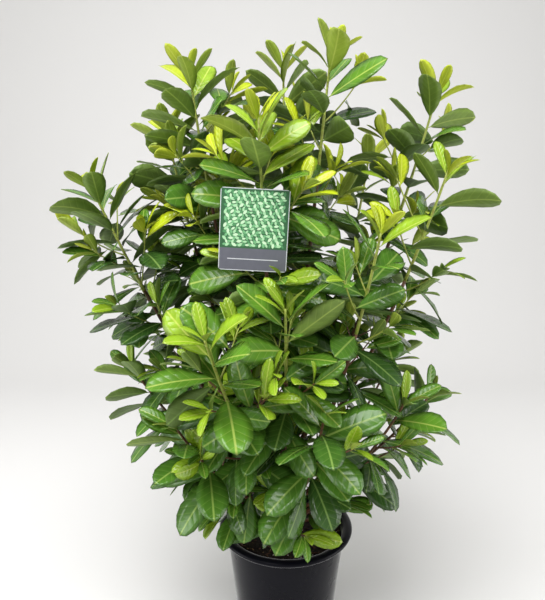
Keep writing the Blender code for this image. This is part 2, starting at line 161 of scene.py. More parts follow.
def settle(piece, slot, *nodes):
    """Finish a piece: it rides on the one body and stands for its solids."""
    deselect()
    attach(piece, "root")
    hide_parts(*nodes)
    print(piece.name, "has", len(piece.data.polygons), "faces")


print("materials so far:", len(bpy.data.materials))

# %% [markdown]
# ## Floor and light
# The plant stands on a plain pale floor that curves up far behind it, so no horizon
# line shows. An even white sky gives the soft light of a bright shed. A lamp overhead
# puts a sheen on the upper sides of the leaves, and one at each side puts a soft band
# of light down the edges of the pot.

# %% Floor
FLOOR_SIZE = 12.0
FLOOR_BACK = 3.4
WALL_HEIGHT = 5.0
SWEEP_RADIUS = 1.6
NEAR_EDGE = 0.1

floor_paint, _, _ = new_material("matt_floor_paint", Base_Color=linear("dedddc"), Roughness=0.7)
deselect()
bpy.ops.mesh.primitive_plane_add(size=FLOOR_SIZE, location=(0, FLOOR_BACK - FLOOR_SIZE / 2, 0))
floor = bpy.context.object
floor.name = "floor"
bpy.ops.object.transform_apply(location=True)
pick_edges(floor, lambda place: place.y > FLOOR_BACK - NEAR_EDGE)
bpy.ops.mesh.extrude_region_move(TRANSFORM_OT_translate={"value": (0, 0, WALL_HEIGHT)})
pick_edges(floor, lambda place: place.y > FLOOR_BACK - NEAR_EDGE and place.z < NEAR_EDGE)
bpy.ops.mesh.bevel(offset=SWEEP_RADIUS, segments=16)
bpy.ops.object.mode_set(mode="OBJECT")
bpy.ops.object.shade_smooth()
floor.data.materials.append(floor_paint)
print("floor with", len(floor.data.polygons), "faces")

# %% Light
SKY_STRENGTH = 0.56


def area_lamp(name, place, aim, size, watts):
    """A square lamp that shines at a point. A large one throws soft shadows."""
    bpy.ops.object.light_add(type="AREA", location=place)
    lamp = bpy.context.object
    lamp.name = name
    lamp.data.size = size
    lamp.data.energy = watts
    lamp.rotation_euler = (Vector(aim) - Vector(place)).to_track_quat("-Z", "Y").to_euler()


sky = bpy.data.worlds.new("white_shed")
sky.use_nodes = True
sky.node_tree.nodes["Background"].inputs["Color"].default_value = linear("f6f6f4")
sky.node_tree.nodes["Background"].inputs["Strength"].default_value = SKY_STRENGTH
bpy.context.scene.world = sky
area_lamp("overhead_lamp", (-0.5, -1.3, 3.4), (0, 0, 0.7), 2.4, 140)
area_lamp("left_lamp", (-2.9, -0.9, 0.9), (0, 0, 0.2), 1.8, 40)
area_lamp("right_lamp", (2.9, -0.7, 0.9), (0, 0, 0.2), 1.8, 42)
bpy.context.scene.view_settings.view_transform = "Standard"
print("sky and three lamps")

# %% [markdown]
# ## How a laurel grows
# The solids were grown by a rule, and the fine foliage grows by the same one. Each
# shoot follows one curve from the short trunk, outward and then up. Leaves sit round
# it a fixed turn apart, the golden angle, which keeps them out of each other's shade.
# Writing the rule again, with finer twigs and closer leaves, fills the same space.

# %% The trunk and its limbs
SEED = 11
UP = Vector((0.0, 0.0, 1.0))
TRUNK_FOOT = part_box("trunk")[0].z
TRUNK_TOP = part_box("trunk")[1].z
TRUNK_LEAN = Vector((0.012, -0.008, 0.0))
TRUNK_FOOT_RADIUS = 0.0190
TRUNK_TIP_RADIUS = 0.0085
FLARE = 0.012
FLARE_HEIGHT = 0.022
BOUGH_FOOT_RADIUS = 0.0068
BOUGH_TIP_RADIUS = 0.0050
STEM_FOOT_RADIUS = 0.0048
STEM_TIP_RADIUS = 0.0024
BARE_SHARE = 0.38
BEND_SHARE = 0.45
ELBOW = 1.3
SEAT_DEPTH = 0.3
CURVE_POINTS = 25
print("the trunk is", round((TRUNK_TOP - TRUNK_FOOT) * 1000), "mm high")

# %% The shoots
# Name, azimuth, foot height, reach and height of the stem's tip, bow, side twigs.
UPPER_SHOOTS = [
    ("top", 345, None, 0.095, 1.410, 0.02, 3),
    ("back_top", 94, 0.510, 0.115, 1.410, 0.05, 3),
    ("left_top", 175, 0.470, 0.220, 1.375, 0.05, 4),
    ("right_top", 10, 0.480, 0.355, 1.345, 0.05, 4),
    ("bright", 249, 0.450, 0.172, 1.262, 0.05, 4),
    ("left_upper", 158, 0.410, 0.315, 1.260, 0.06, 4),
    ("far_left", 178, 0.370, 0.455, 1.130, 0.05, 4),
    ("right", 344, 0.415, 0.350, 1.160, 0.05, 4),
    ("front_right", 308, 0.375, 0.285, 1.040, 0.05, 4),
    ("front_left", 243, 0.345, 0.350, 0.850, 0.04, 3),
    ("front", 268, 0.395, 0.270, 0.900, 0.05, 3),
    ("back_right", 48, 0.430, 0.340, 1.210, 0.05, 4),
    ("back", 84, 0.385, 0.370, 1.010, 0.05, 3),
    ("back_left", 124, 0.445, 0.350, 1.130, 0.05, 4),
]
LOWER_SHOOTS = [
    ("low_right", 354, 0.345, 0.345, 0.640, 0.05, 2),
    ("low_left", 185, 0.320, 0.370, 0.710, 0.05, 2),
    ("low_front", 283, 0.325, 0.300, 0.700, 0.05, 2),
    ("low_back", 102, 0.325, 0.330, 0.700, 0.05, 2),
    ("low_back_right", 30, 0.315, 0.350, 0.690, 0.05, 2),
    ("low_back_left", 146, 0.345, 0.350, 0.720, 0.05, 2),
    ("low_front_left", 222, 0.315, 0.320, 0.640, 0.05, 2),
    ("low_front_right", 322, 0.315, 0.310, 0.680, 0.05, 2),
]
SKIRT_COUNT = 7
SKIRT_START = 8.0
SKIRT = [
    (f"skirt_{i + 1}", SKIRT_START + 360 * i / SKIRT_COUNT, 0.290, 0.165, 0.410, 0.03, 1)
    for i in range(SKIRT_COUNT)
]
print(len(UPPER_SHOOTS), "upper,", len(LOWER_SHOOTS), "lower and", len(SKIRT), "skirt shoots")

# %% Curves
def mix(a, b, share):
    """The value a share of the way from a to b."""
    return a + (b - a) * share


def polar(azimuth, reach, height):
    """The point at an angle in degrees from the +X axis, so far out and so high."""
    angle = math.radians(azimuth)
    return Vector((reach * math.cos(angle), reach * math.sin(angle), height))


def curve(start, bend, end, count):
    """Points of a quadratic curve."""
    shares = [i / (count - 1) for i in range(count)]
    return [start * (1 - t) ** 2 + bend * 2 * t * (1 - t) + end * t * t for t in shares]


def length_of(points):
    """The length of a polyline."""
    return sum((b - a).length for a, b in zip(points, points[1:]))


def along(points, share):
    """The point and the direction at a share of a polyline's length."""
    left = share * length_of(points)
    for a, b in zip(points, points[1:]):
        length = (b - a).length
        if left <= length or b is points[-1]:
            return a.lerp(b, min(1.0, left / length)), (b - a).normalized()
        left -= length


def part_of(points, first, last, count):
    """The stretch of a polyline between two shares of its length, in new points."""
    return [along(points, mix(first, last, i / (count - 1)))[0] for i in range(count)]


print("halfway along a 1 m line is", along([UP * 0, UP], 0.5)[0].z, "m")

# %% Shoot curves
def trunk_share(height):
    """How far up the trunk a height is, from 0 to 1."""
    return (height - TRUNK_FOOT) / (TRUNK_TOP - TRUNK_FOOT)


def trunk_centre(height):
    """The middle of the leaning trunk at a height."""
    return TRUNK_LEAN * trunk_share(height) + UP * height


def trunk_radius(height):
    """The trunk's radius at a height, with its flare at the foot."""
    flare = FLARE * max(0.0, 1 - (height - TRUNK_FOOT) / FLARE_HEIGHT) ** 2
    return mix(TRUNK_FOOT_RADIUS, TRUNK_TIP_RADIUS, trunk_share(height)) + flare


def shoot_curve(azimuth, foot, reach, height, bow, radius):
    """A shoot's curve, from inside the trunk to the stem's tip."""
    end = polar(azimuth, reach, height)
    if foot is None:
        seat = trunk_centre(TRUNK_TOP)
        return curve(seat, seat.lerp(end, BEND_SHARE), end, CURVE_POINTS)
    way = polar(azimuth, 1.0, 0.0)
    seat = trunk_centre(foot) + way * trunk_radius(foot)
    elbow = seat + (way + UP) * radius * ELBOW
    bend = elbow.lerp(end, BEND_SHARE) + polar(azimuth, bow, -bow / 2)
    inside = trunk_centre(foot) + way * trunk_radius(foot) * SEAT_DEPTH
    return [inside, seat] + curve(elbow, bend, end, CURVE_POINTS)


print("the trunk is", round(trunk_radius(TRUNK_FOOT) * 2000), "mm thick at its foot")

# %% [markdown]
# ## Room for everything
# Leaves that cut through each other look wrong. So every stem, twig and leaf has a rough
# stand-in of a few faces, kept in a list of what is already there, and a new one is kept
# only if its stand-in touches none of them. Their boxes are held in arrays, which rules
# most of them out at once. A real leaf is fuller and wavier than its stand-in, so some
# neighbours still touch, as they do on the plant.

# %% Room
class Space:
    """The stand-ins of what is placed, with their boxes in arrays for a quick first test."""

    def __init__(self, most=6000):
        self.low = np.zeros((most, 3))
        self.high = np.zeros((most, 3))
        self.trees = []

    def add(self, shape):
        """Keep a shape, given as its points and faces."""
        count = len(self.trees)
        points = np.array([p[:] for p in shape[0]])
        self.low[count] = points.min(axis=0)
        self.high[count] = points.max(axis=0)
        self.trees.append(BVHTree.FromPolygons(*shape))

    def is_free(self, shape):
        """Whether a shape touches none of those kept."""
        points = np.array([p[:] for p in shape[0]])
        count = len(self.trees)
        near = np.all(self.low[:count] <= points.max(axis=0), axis=1)
        near &= np.all(self.high[:count] >= points.min(axis=0), axis=1)
        tree = BVHTree.FromPolygons(*shape)
        return not any(tree.overlap(self.trees[i]) for i in np.flatnonzero(near))


space = Space()
print("room for", len(space.low), "shapes")

# %% What is in the way
def solid_shape(name):
    """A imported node's points and faces."""
    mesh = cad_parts[name].data
    return [v.co.copy() for v in mesh.vertices], [tuple(f.vertices) for f in mesh.polygons]


def box_shape(low, high):
    """The corners and faces of a box."""
    corners = [Vector((x, y, z)) for x in (low.x, high.x) for y in (low.y, high.y) for z in (low.z, high.z)]
    return corners, [(0, 1, 3, 2), (4, 6, 7, 5), (0, 4, 5, 1), (2, 3, 7, 6), (0, 2, 6, 4), (1, 5, 7, 3)]


# A box in front of the card keeps it in view, and one goes a little way behind its face.
CARD_CLEAR = Vector((0.003, 0.050, 0.003))
CARD_BACK_CLEAR = 0.014

for name in ("pot", "soil", "label"):
    space.add(solid_shape(name))
label_low, label_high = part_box("label")
card_back = Vector((label_high.x, label_low.y + CARD_BACK_CLEAR, label_high.z))
space.add(box_shape(label_low - CARD_CLEAR, card_back))
print("shapes in the way:", len(space.trees))

# %% Tubes
# A direction that no stem follows, from which a tube's first ring starts.
ASKEW = Vector((0.31, 0.87, 0.38))


def tube(points, radii, sides):
    """Points and four-cornered faces of a closed tube along a polyline."""
    rings = []
    across = (points[1] - points[0]).cross(ASKEW)
    for i, (centre, radius) in enumerate(zip(points, radii)):
        ahead = points[min(i + 1, len(points) - 1)] - points[max(i - 1, 0)]
        ahead.normalize()
        across = (across - ahead * across.dot(ahead)).normalized()
        other = ahead.cross(across)
        for k in range(sides):
            angle = 2 * math.pi * k / sides
            rings.append(centre + (across * math.cos(angle) + other * math.sin(angle)) * radius)
    faces = []
    for i in range(len(points) - 1):
        for k in range(sides):
            a, b = i * sides + k, i * sides + (k + 1) % sides
            faces.append((a, b, b + sides, a + sides))
    last = (len(points) - 1) * sides
    caps = [(0, 2 * i + 1, 2 * i + 2, 2 * i + 3) for i in range((sides - 2) // 2)]
    faces += [tuple(reversed(cap)) for cap in caps]
    faces += [tuple(v + last for v in cap) for cap in caps]
    return rings, faces


print("a tube of 3 rings and 6 sides has", len(tube([UP * 0, UP, UP * 2], [1, 1, 1], 6)[1]), "faces")

# %% Grow the stems
STEM_POINTS = 24
BOUGH_POINTS = 60
STEM_OVERLAP = 0.01
# The share of a stem that has no leaves yet.
UPPER_LEAFLESS = 0.03
LOWER_LEAFLESS = 0.24
SKIRT_LEAFLESS = 0.30
LEAF_DROOP = 0.30
SKIRT_DROOP = 0.65
# The stand-ins for the test of room take some of the points and have few sides.
BOUGH_STRIDE = 6
STEM_STRIDE = 3
ROUGH_BOUGH_SIDES = 6
ROUGH_SIDES = 4

shoots = []
for name, azimuth, foot, reach, height, bow, twigs in UPPER_SHOOTS:
    whole = shoot_curve(azimuth, foot, reach, height, bow, BOUGH_FOOT_RADIUS)
    stem = part_of(whole, BARE_SHARE - STEM_OVERLAP, 1.0, STEM_POINTS)
    bough = part_of(whole, 0, BARE_SHARE, BOUGH_POINTS)
    first = UPPER_LEAFLESS
    shoots.append(dict(name=name, stem=stem, bough=bough, first=first, twigs=twigs, droop=LEAF_DROOP))
for low, first, droop in ((LOWER_SHOOTS, LOWER_LEAFLESS, LEAF_DROOP), (SKIRT, SKIRT_LEAFLESS, SKIRT_DROOP)):
    for name, azimuth, foot, reach, height, bow, twigs in low:
        whole = shoot_curve(azimuth, foot, reach, height, bow, STEM_FOOT_RADIUS)
        stem = part_of(whole, 0, 1, STEM_POINTS)
        shoots.append(dict(name=name, stem=stem, bough=None, first=first, twigs=twigs, droop=droop))
for shoot in shoots:
    if shoot["bough"]:
        bough = shoot["bough"][::BOUGH_STRIDE]
        space.add(tube(bough, [BOUGH_FOOT_RADIUS] * len(bough), ROUGH_BOUGH_SIDES))
    stem = shoot["stem"][::STEM_STRIDE]
    space.add(tube(stem, [STEM_FOOT_RADIUS] * len(stem), ROUGH_SIDES))
print(len(shoots), "stems,", round(sum(length_of(s["stem"]) for s in shoots), 1), "m in all")

# %% One twig
# The golden angle, from one leaf or twig to the next.
TURN = math.radians(137.5)
TWIG_RADIUS = 0.0020
TWIG_LENGTH = 0.110
TWIG_RANGE = (0.5, 1.2)
TWIG_SPREAD = math.radians(50)
TWIG_TWIST = 0.8
TWIG_LIFT = 0.2
TWIG_POINTS = 7
# Its stand-in starts clear of the limb it grows from, and is twice as thick.
TWIG_TEST_START = 0.15
TWIG_TEST_POINTS = 3

luck = random.Random(SEED)


def grow_twig(line, share, number):
    """A short curved twig from a place on a limb, or nothing where there is no room."""
    root, ahead = along(line, share)
    turn = TURN * (2 * number + 1) + luck.uniform(0, TWIG_TWIST)
    across = Matrix.Rotation(turn, 3, ahead) @ ahead.orthogonal().normalized()
    way = ahead * math.cos(TWIG_SPREAD) + across * math.sin(TWIG_SPREAD)
    reach = TWIG_LENGTH * luck.uniform(*TWIG_RANGE)
    end = root + way * reach + UP * reach * TWIG_LIFT
    points = curve(root, root + way * reach / 2, end, TWIG_POINTS)
    rough = part_of(points, TWIG_TEST_START, 1.0, TWIG_TEST_POINTS)
    check = tube(rough, [TWIG_RADIUS * 2] * TWIG_TEST_POINTS, ROUGH_SIDES)
    if not space.is_free(check):
        return []
    space.add(check)
    return [points]


print("twigs are", [round(TWIG_LENGTH * share * 1000) for share in TWIG_RANGE], "mm long")

# %% Grow the twigs
TWIG_HIGHEST = 0.80
TWIG_FACTOR = 2.2
# The first twig's place, as a share of the step from one twig to the next.
FIRST_TWIG = 0.4
INNER_TWIGS = 3
INNER_LOWEST = 0.45
# How leafy a shoot is beside the others: the left of the crown is fuller than the right.
LEAFY = {
    "left_top": 1.35, "left_upper": 1.35, "far_left": 1.3, "back_left": 1.3, "bright": 1.3,
    "right_top": 0.85, "right": 0.65, "front_right": 0.65, "back_right": 0.7,
    "low_right": 0.75, "low_back_right": 0.75, "low_front_right": 0.8,
}

for shoot in shoots:
    shoot["side"] = []
    count = round(shoot["twigs"] * TWIG_FACTOR * LEAFY.get(shoot["name"], 1.0))
    for i in range(count):
        share = mix(shoot["first"], TWIG_HIGHEST, (i + FIRST_TWIG) / count)
        shoot["side"] += grow_twig(shoot["stem"], share, i)
    shoot["inner"] = []
    for i in range(INNER_TWIGS if shoot["bough"] else 0):
        share = mix(INNER_LOWEST, 1.0, (i + 0.5) / INNER_TWIGS)
        shoot["inner"] += grow_twig(shoot["bough"], share, i)
print(sum(len(s["side"]) for s in shoots), "side twigs on the stems")
print(sum(len(s["inner"]) for s in shoots), "twigs on the boughs")

# %% [markdown]
# ## The leaf
# A cherry laurel leaf is a leathery blade a little over twice as long as wide, widest
# past its middle, with a blunt end that runs out in a short point, and a short stalk.
# It is modelled from a flat grid whose rows follow that outline. The sheet is extruded
# into a thin closed shell and its rim is drawn together, so the blade is thick at its
# midrib and sharp at its edge. Hundreds of copies come of it, so it keeps to 64 faces.

# %% The leaf's outline
LEAF_LENGTH = 0.120
LEAF_WIDTH = 0.054
STALK = 0.08
STALK_HALF = 0.0013
RIB_TAPER = 0.8
# Shares of the length and of the half width, from the stalk to the point.
LEAF_OUTLINE = [
    (0.0, 0.0), (STALK, 0.0), (0.18, 0.34), (0.32, 0.66), (0.48, 0.90), (0.64, 1.0), (0.80, 0.91),
    (0.93, 0.54), (1.0, 0.0),
]


def half_width(share):
    """Half the leaf's width at a share of its length, with the stalk that runs on as its midrib."""
    blade = np.interp(share, *zip(*LEAF_OUTLINE)) * LEAF_WIDTH / 2
    return blade + STALK_HALF * (1 - share * RIB_TAPER)


print("halfway along, a leaf is", round(half_width(0.5) * 2000), "mm wide")

# %% Model one leaf
LEAF_ROWS = len(LEAF_OUTLINE) - 1
LEAF_COLUMNS = 4
BLADE_THICK = 0.0008
KEEL_DEPTH = 0.0010

deselect()
bpy.ops.mesh.primitive_grid_add(x_subdivisions=LEAF_ROWS, y_subdivisions=LEAF_COLUMNS, size=1.0)
leaf = bpy.context.object
for point in leaf.data.vertices:
    share = LEAF_OUTLINE[round((point.co.x + 0.5) * LEAF_ROWS)][0]
    point.co = (share * LEAF_LENGTH, half_width(share) * point.co.y * 2, 0)
edit(leaf, "SELECT")
bpy.ops.mesh.extrude_region_move(TRANSFORM_OT_translate={"value": (0, 0, -BLADE_THICK)})
bpy.ops.object.mode_set(mode="OBJECT")
for point in leaf.data.vertices:
    share = point.co.x / LEAF_LENGTH
    half = half_width(share)
    # The rim and both ends are drawn together, and the midrib stands out underneath.
    if abs(point.co.y) > half * 0.9 or share > 0.99 or share < 0.01:
        point.co.z = -BLADE_THICK / 2
    elif abs(point.co.y) < half * 0.1 and point.co.z < 0:
        point.co.z -= KEEL_DEPTH * (1.1 - share)
edit(leaf, "SELECT")
bpy.ops.mesh.remove_doubles(threshold=0.00005)
bpy.ops.object.mode_set(mode="OBJECT")
face_outwards(leaf)
if max(leaf.data.polygons, key=lambda face: face.center.z).normal.z < 0:
    edit(leaf, "SELECT")
    bpy.ops.mesh.flip_normals()
    bpy.ops.object.mode_set(mode="OBJECT")
print("the leaf has", len(leaf.data.polygons), "faces and", len(leaf.data.vertices), "points")

# %% Read the leaf as arrays
leaf_points = np.array([v.co[:] for v in leaf.data.vertices])
leaf_faces = np.array([f.vertices[:] for f in leaf.data.polygons])
leaf_is_under = np.array([int(f.normal.z < 0) for f in leaf.data.polygons])
leaf_uvs = np.array([
    (leaf_points[v][0] / LEAF_LENGTH, 0.5 + leaf_points[v][1] / LEAF_WIDTH)
    for f in leaf_faces for v in f
])
bpy.data.objects.remove(leaf)
print("faces on top and underneath:", np.bincount(leaf_is_under))

# %% [markdown]
# ## Placing the leaves
# The rule gives each leaf a root on its stem and a direction. Near the tip it points up
# the stem, and further down it spreads and droops. A blade also arches back along its
# length. The topmost four leaves of each stem are still small and stand close
# together, with a bare stretch of stem below them. Where a leaf has no room, the rule
# swings it round its stem, and leaves it out if that doesn't help.

# %% Leaf stand-in
MEAN_FOLD = 0.14
STAND_IN_LIFT = 0.0020
# The stand-in has a blade's half width at two shares of its length.
LOWER_SHARE = 0.42
LOWER_HALF = 0.80
UPPER_SHARE = 0.84
UPPER_HALF = 0.84


def leaf_shape(root, way, face, length, width, arch, start):
    """A rough arched and folded leaf for the test of room: eleven points and fourteen faces."""
    side = way.cross(face).normalized()
    face = side.cross(way).normalized()
    places = []
    for share in (start, LOWER_SHARE, UPPER_SHARE, 1.0):
        angle = arch * share
        bent = way * math.sin(angle) - face * (1 - math.cos(angle))
        places.append(root + bent * (length / arch))
    base, lower, upper, tip = places
    lift = face * STAND_IN_LIFT
    points = [base + lift, base - lift, tip]
    for rib, half in ((lower, LOWER_HALF), (upper, UPPER_HALF)):
        out = side * half * width / 2
        raised = rib + face * half * width / 2 * MEAN_FOLD
        points += [raised - out, rib + lift, raised + out, rib - lift]
    faces = [
        (0, 4, 3), (0, 5, 4), (1, 3, 6), (1, 6, 5), (0, 3, 1), (0, 1, 5),
        (3, 4, 8, 7), (4, 5, 9, 8), (3, 7, 10, 6), (5, 6, 10, 9),
        (7, 8, 2), (8, 9, 2), (10, 7, 2), (9, 10, 2),
    ]
    return points, faces


print("a leaf's stand-in has", len(leaf_shape(UP * 0, UP, polar(0, 1, 0), 0.1, 0.05, 0.3, 0.2)[1]), "faces")

# %% Leaf directions
TIP_SPREAD = math.radians(26)
LOW_SPREAD = math.radians(70)
# How fast leaves spread and droop as they age.
SPREADING = 2.0
SPREAD_EASE = 0.7
DROOPING = 1.5


def leaf_way(ahead, across, age, droop):
    """A leaf's direction: up the stem at its tip, spread and drooping when older."""
    spread = mix(TIP_SPREAD, LOW_SPREAD, min(1.0, age * SPREADING) ** SPREAD_EASE)
    way = ahead * math.cos(spread) + across * math.sin(spread)
    return (way - UP * droop * min(1.0, max(droop, age * DROOPING))).normalized()


oldest_way = leaf_way(UP, polar(0, 1, 0), 1.0, LEAF_DROOP)
print("the oldest leaves rise", round(math.degrees(math.asin(oldest_way.z))), "degrees")

# %% Leaf kinds
KINDS = ("tip", "lime", "fresh", "green", "deep", "old")
# How far down its stem a shoot stays young: the sunlit front shoots longest.
YOUTH = {"bright": 2.4, "front_left": 1.9, "front": 1.3, "right_top": 1.2}
SUNNY_YOUTH = 1.0
SHADY_YOUTH = 0.5
SUNNY_HEIGHT = 0.95
LIME_HEIGHT = 0.98
DARK_HEIGHT = 0.55
# The ages at which a leaf leaves its first, second and third colour.
TIP_AGE = 0.05
LIME_AGE = 0.11
FRESH_AGE = 0.24


def leaf_kind(shoot, age, height):
    """Which colour a leaf has, from its age, its shoot and its height on the plant."""
    youth = YOUTH.get(shoot, SUNNY_YOUTH if height > SUNNY_HEIGHT else SHADY_YOUTH)
    years = age / youth + luck.uniform(-0.02, 0.05)
    if years < TIP_AGE:
        return "tip" if height > LIME_HEIGHT else "lime"
    if years < LIME_AGE:
        return "lime" if height > LIME_HEIGHT else "fresh"
    if years < FRESH_AGE:
        return "fresh"
    if height > DARK_HEIGHT:
        return luck.choice(("green", "green", "green", "deep", "old"))
    return luck.choice(("green", "green", "deep", "old"))


placed = []
print("leaf kinds:", ", ".join(KINDS))

# %% The rule for one leaf
LEAF_ROLL = 0.45
ARCH_RANGE = (0.10, 0.65)
WIDTH_RANGE = (0.94, 1.06)
# How much a blade faces along its stem, up and outward.
FACE_AHEAD = 0.35
FACE_UP = 0.7
FACE_OUT = 0.4
# A leaf counts as young until a sixth of the oldest leaf's age.
AGEING = 6
SWINGS = (0.0, 0.35, -0.35, 0.7, -0.7, 1.1, -1.1, 1.6, -1.6)
LOWEST_LEAF = 0.333
# The skirt hangs lower on the left and leaves the compost open on the right.
SKIRT_RISE = 0.18
OVER_BOX = 0.020
# Leaves meet at their stalks, so a stand-in starts a little way along the leaf.
TEST_START = 0.2
KEPT_START = 0.1
low_limit = np.array(cad_box[0][:]) - OVER_BOX
high_limit = np.array(cad_box[1][:]) + OVER_BOX


def in_reach(points):
    """Whether points stay over the pot's rim and within the solid model's reach."""
    over_rim = all(p.z > LOWEST_LEAF + SKIRT_RISE * p.x for p in points)
    return over_rim and all(np.all(low_limit <= p[:]) and np.all(high_limit >= p[:]) for p in points)


def place_leaf(shoot, stem, share, age, turn, length, slim):
    """Keep the first leaf round one place on a stem that has room, or none."""
    root, ahead = along(stem, share)
    width = length * slim * luck.uniform(*WIDTH_RANGE)
    arch = luck.uniform(*ARCH_RANGE)
    roll = luck.gauss(0, LEAF_ROLL)
    outward = Vector((root.x, root.y, 0)).normalized()
    for swing in SWINGS:
        across = Matrix.Rotation(turn + swing, 3, ahead) @ ahead.orthogonal().normalized()
        way = leaf_way(ahead, across, age, shoot["droop"])
        flat = ahead * FACE_AHEAD + UP * FACE_UP + outward * FACE_OUT
        face = Matrix.Rotation(roll, 3, way) @ flat
        test = leaf_shape(root, way, face, length, width, arch, TEST_START)
        if in_reach(test[0][2:]) and space.is_free(test):
            space.add(leaf_shape(root, way, face, length, width, arch, KEPT_START))
            kind = leaf_kind(shoot["name"], age, root.z)
            young = max(0.0, 1 - age * AGEING)
            placed.append((kind, root, way, face, length, width, arch, young))
            return


print("leaves stay between", low_limit.round(2), "and", high_limit.round(2))

# %% Place the leaves
LEAF_SPACING = 0.018
FULL_LENGTH = 0.138
LENGTH_RANGE = (0.80, 1.10)
YOUNG_SLIM = 0.38
OLD_SLIM = 0.47
# A leaf below the star starts at this share of its full length and grows this fast.
NEW_LENGTH = 0.72
GROWTH = 1.8
# Leaves stand a little closer together near the top.
CROWDING = 1.1
# The star of small leaves at each tip, and the bare stretch below it.
STAR_LENGTHS = (0.062, 0.074, 0.084, 0.092)
STAR_SLIM = 0.31
STAR_TOP = 0.998
STAR_STEP = 0.004
STAR_AGE = 0.012
STAR_GAP = 0.030
SIDE_TWIG_BARE = 0.35
INNER_TWIG_BARE = 0.30
TWIG_LEAF_SIZE = 0.88

for shoot in shoots:
    # What carries leaves, its leafless share, the age of its oldest leaf and its leaves' size.
    carriers = [(shoot["stem"], shoot["first"], 1.0, 1.0)]
    carriers += [(points, SIDE_TWIG_BARE, 0.5, TWIG_LEAF_SIZE) for points in shoot["side"]]
    carriers += [(points, INNER_TWIG_BARE, 1.0, TWIG_LEAF_SIZE) for points in shoot["inner"]]
    for points, start, oldest, size in carriers:
        reach = length_of(points)
        turn = luck.uniform(0, 2 * math.pi)
        for k, length in enumerate(STAR_LENGTHS):
            length *= size * luck.uniform(0.9, 1.1)
            share = STAR_TOP - STAR_STEP * k / reach
            place_leaf(shoot, points, share, STAR_AGE * k, turn, length, STAR_SLIM)
            turn += TURN
        highest = 1 - STAR_GAP * size / reach
        spacing = LEAF_SPACING / LEAFY.get(shoot["name"], 1.0)
        count = max(2, round(reach * (highest - start) / spacing))
        for k in range(count):
            step = k / (count - 1)
            age = oldest * mix(0.05, 1.0, step)
            grown = min(1.0, NEW_LENGTH + age * GROWTH)
            length = FULL_LENGTH * grown * size * luck.uniform(*LENGTH_RANGE)
            slim = mix(YOUNG_SLIM, OLD_SLIM, min(1.0, age * 4))
            share = mix(highest, start, step ** CROWDING)
            place_leaf(shoot, points, share, age, turn, length, slim)
            turn += TURN
print(len(placed), "leaves placed")

# %% [markdown]
# ## Leaf colours
# Laurel leaves darken with age, from yellow-green shoots to deep green. A gradient
# across the plant would need an image, so each age has its own plain colour and the
# leaves are dealt out among them. The pale midrib and the faint side veins are drawn
# on each leaf's own map, which runs along the blade and across it.

# %% Leaf colours
# Top, underside and midrib of each kind.
LEAF_COLOURS = {
    "tip": ("a8b81c", "adb92e", "c4cc54"),
    "lime": ("84a424", "8c9f36", "b0be54"),
    "fresh": ("547f25", "6d8636", "9aae52"),
    "green": ("487224", "667f38", "8aa64e"),
    "deep": ("3a5e20", "5c7435", "789649"),
    "old": ("304f1e", "556c35", "6d8947"),
}
print(len(LEAF_COLOURS) * 3, "leaf greens")

# %% Leaf veins
# Eight side veins stand about 15 mm apart on a full leaf, a little wider than on a real
# one, so that they show. Each runs forward from the midrib.
SIDE_VEINS = 8.0
VEIN_SLANT = 3.0
VEIN_EDGE = 0.28
# Where the midrib's colour starts to fade, and where it ends, as shares of the leaf's width.
RIB_EDGES = (0.012, 0.045)


def leaf_veins(tree, vein_share):
    """The swell between two side veins, and how much vein or midrib shows, from the leaf's map."""
    leaf_map = node(tree, "ShaderNodeUVMap", {"uv_map": "uv"}).outputs[0]
    split = node(tree, "ShaderNodeSeparateXYZ", Vector=leaf_map)
    off = node(tree, "ShaderNodeMath", {"operation": "SUBTRACT"}, n0=split.outputs["Y"], n1=0.5)
    out = node(tree, "ShaderNodeMath", {"operation": "ABSOLUTE"}, n0=off.outputs[0])
    slant = node(tree, "ShaderNodeMath", {"operation": "MULTIPLY"}, n0=out.outputs[0], n1=-VEIN_SLANT)
    step = node(tree, "ShaderNodeMath", {"operation": "MULTIPLY"}, n0=split.outputs["X"], n1=SIDE_VEINS)
    phase = node(tree, "ShaderNodeMath", {"operation": "ADD"}, n0=step.outputs[0], n1=slant.outputs[0])
    turn = node(tree, "ShaderNodeMath", {"operation": "MULTIPLY"}, n0=phase.outputs[0], n1=math.pi)
    wave = node(tree, "ShaderNodeMath", {"operation": "SINE"}, n0=turn.outputs[0])
    swell = node(tree, "ShaderNodeMath", {"operation": "ABSOLUTE"}, n0=wave.outputs[0])
    soft = {"interpolation_type": "SMOOTHSTEP"}
    vein = node(
        tree, "ShaderNodeMapRange", soft,
        Value=swell.outputs[0], From_Min=0.0, From_Max=VEIN_EDGE, To_Min=vein_share, To_Max=0.0,
    )
    rib = node(
        tree, "ShaderNodeMapRange", soft,
        Value=out.outputs[0], From_Min=RIB_EDGES[0], From_Max=RIB_EDGES[1], To_Min=0.9, To_Max=0.0,
    )
    mask = node(tree, "ShaderNodeMath", {"operation": "MAXIMUM"}, n0=vein.outputs[0], n1=rib.outputs[0])
    return swell.outputs[0], mask.outputs[0]


print("side veins stand", round(LEAF_LENGTH / SIDE_VEINS * 1000), "mm apart")

# %% Leaf skin
# Lighter and darker patches are about as wide as a leaf.
BLOTCH = 0.045


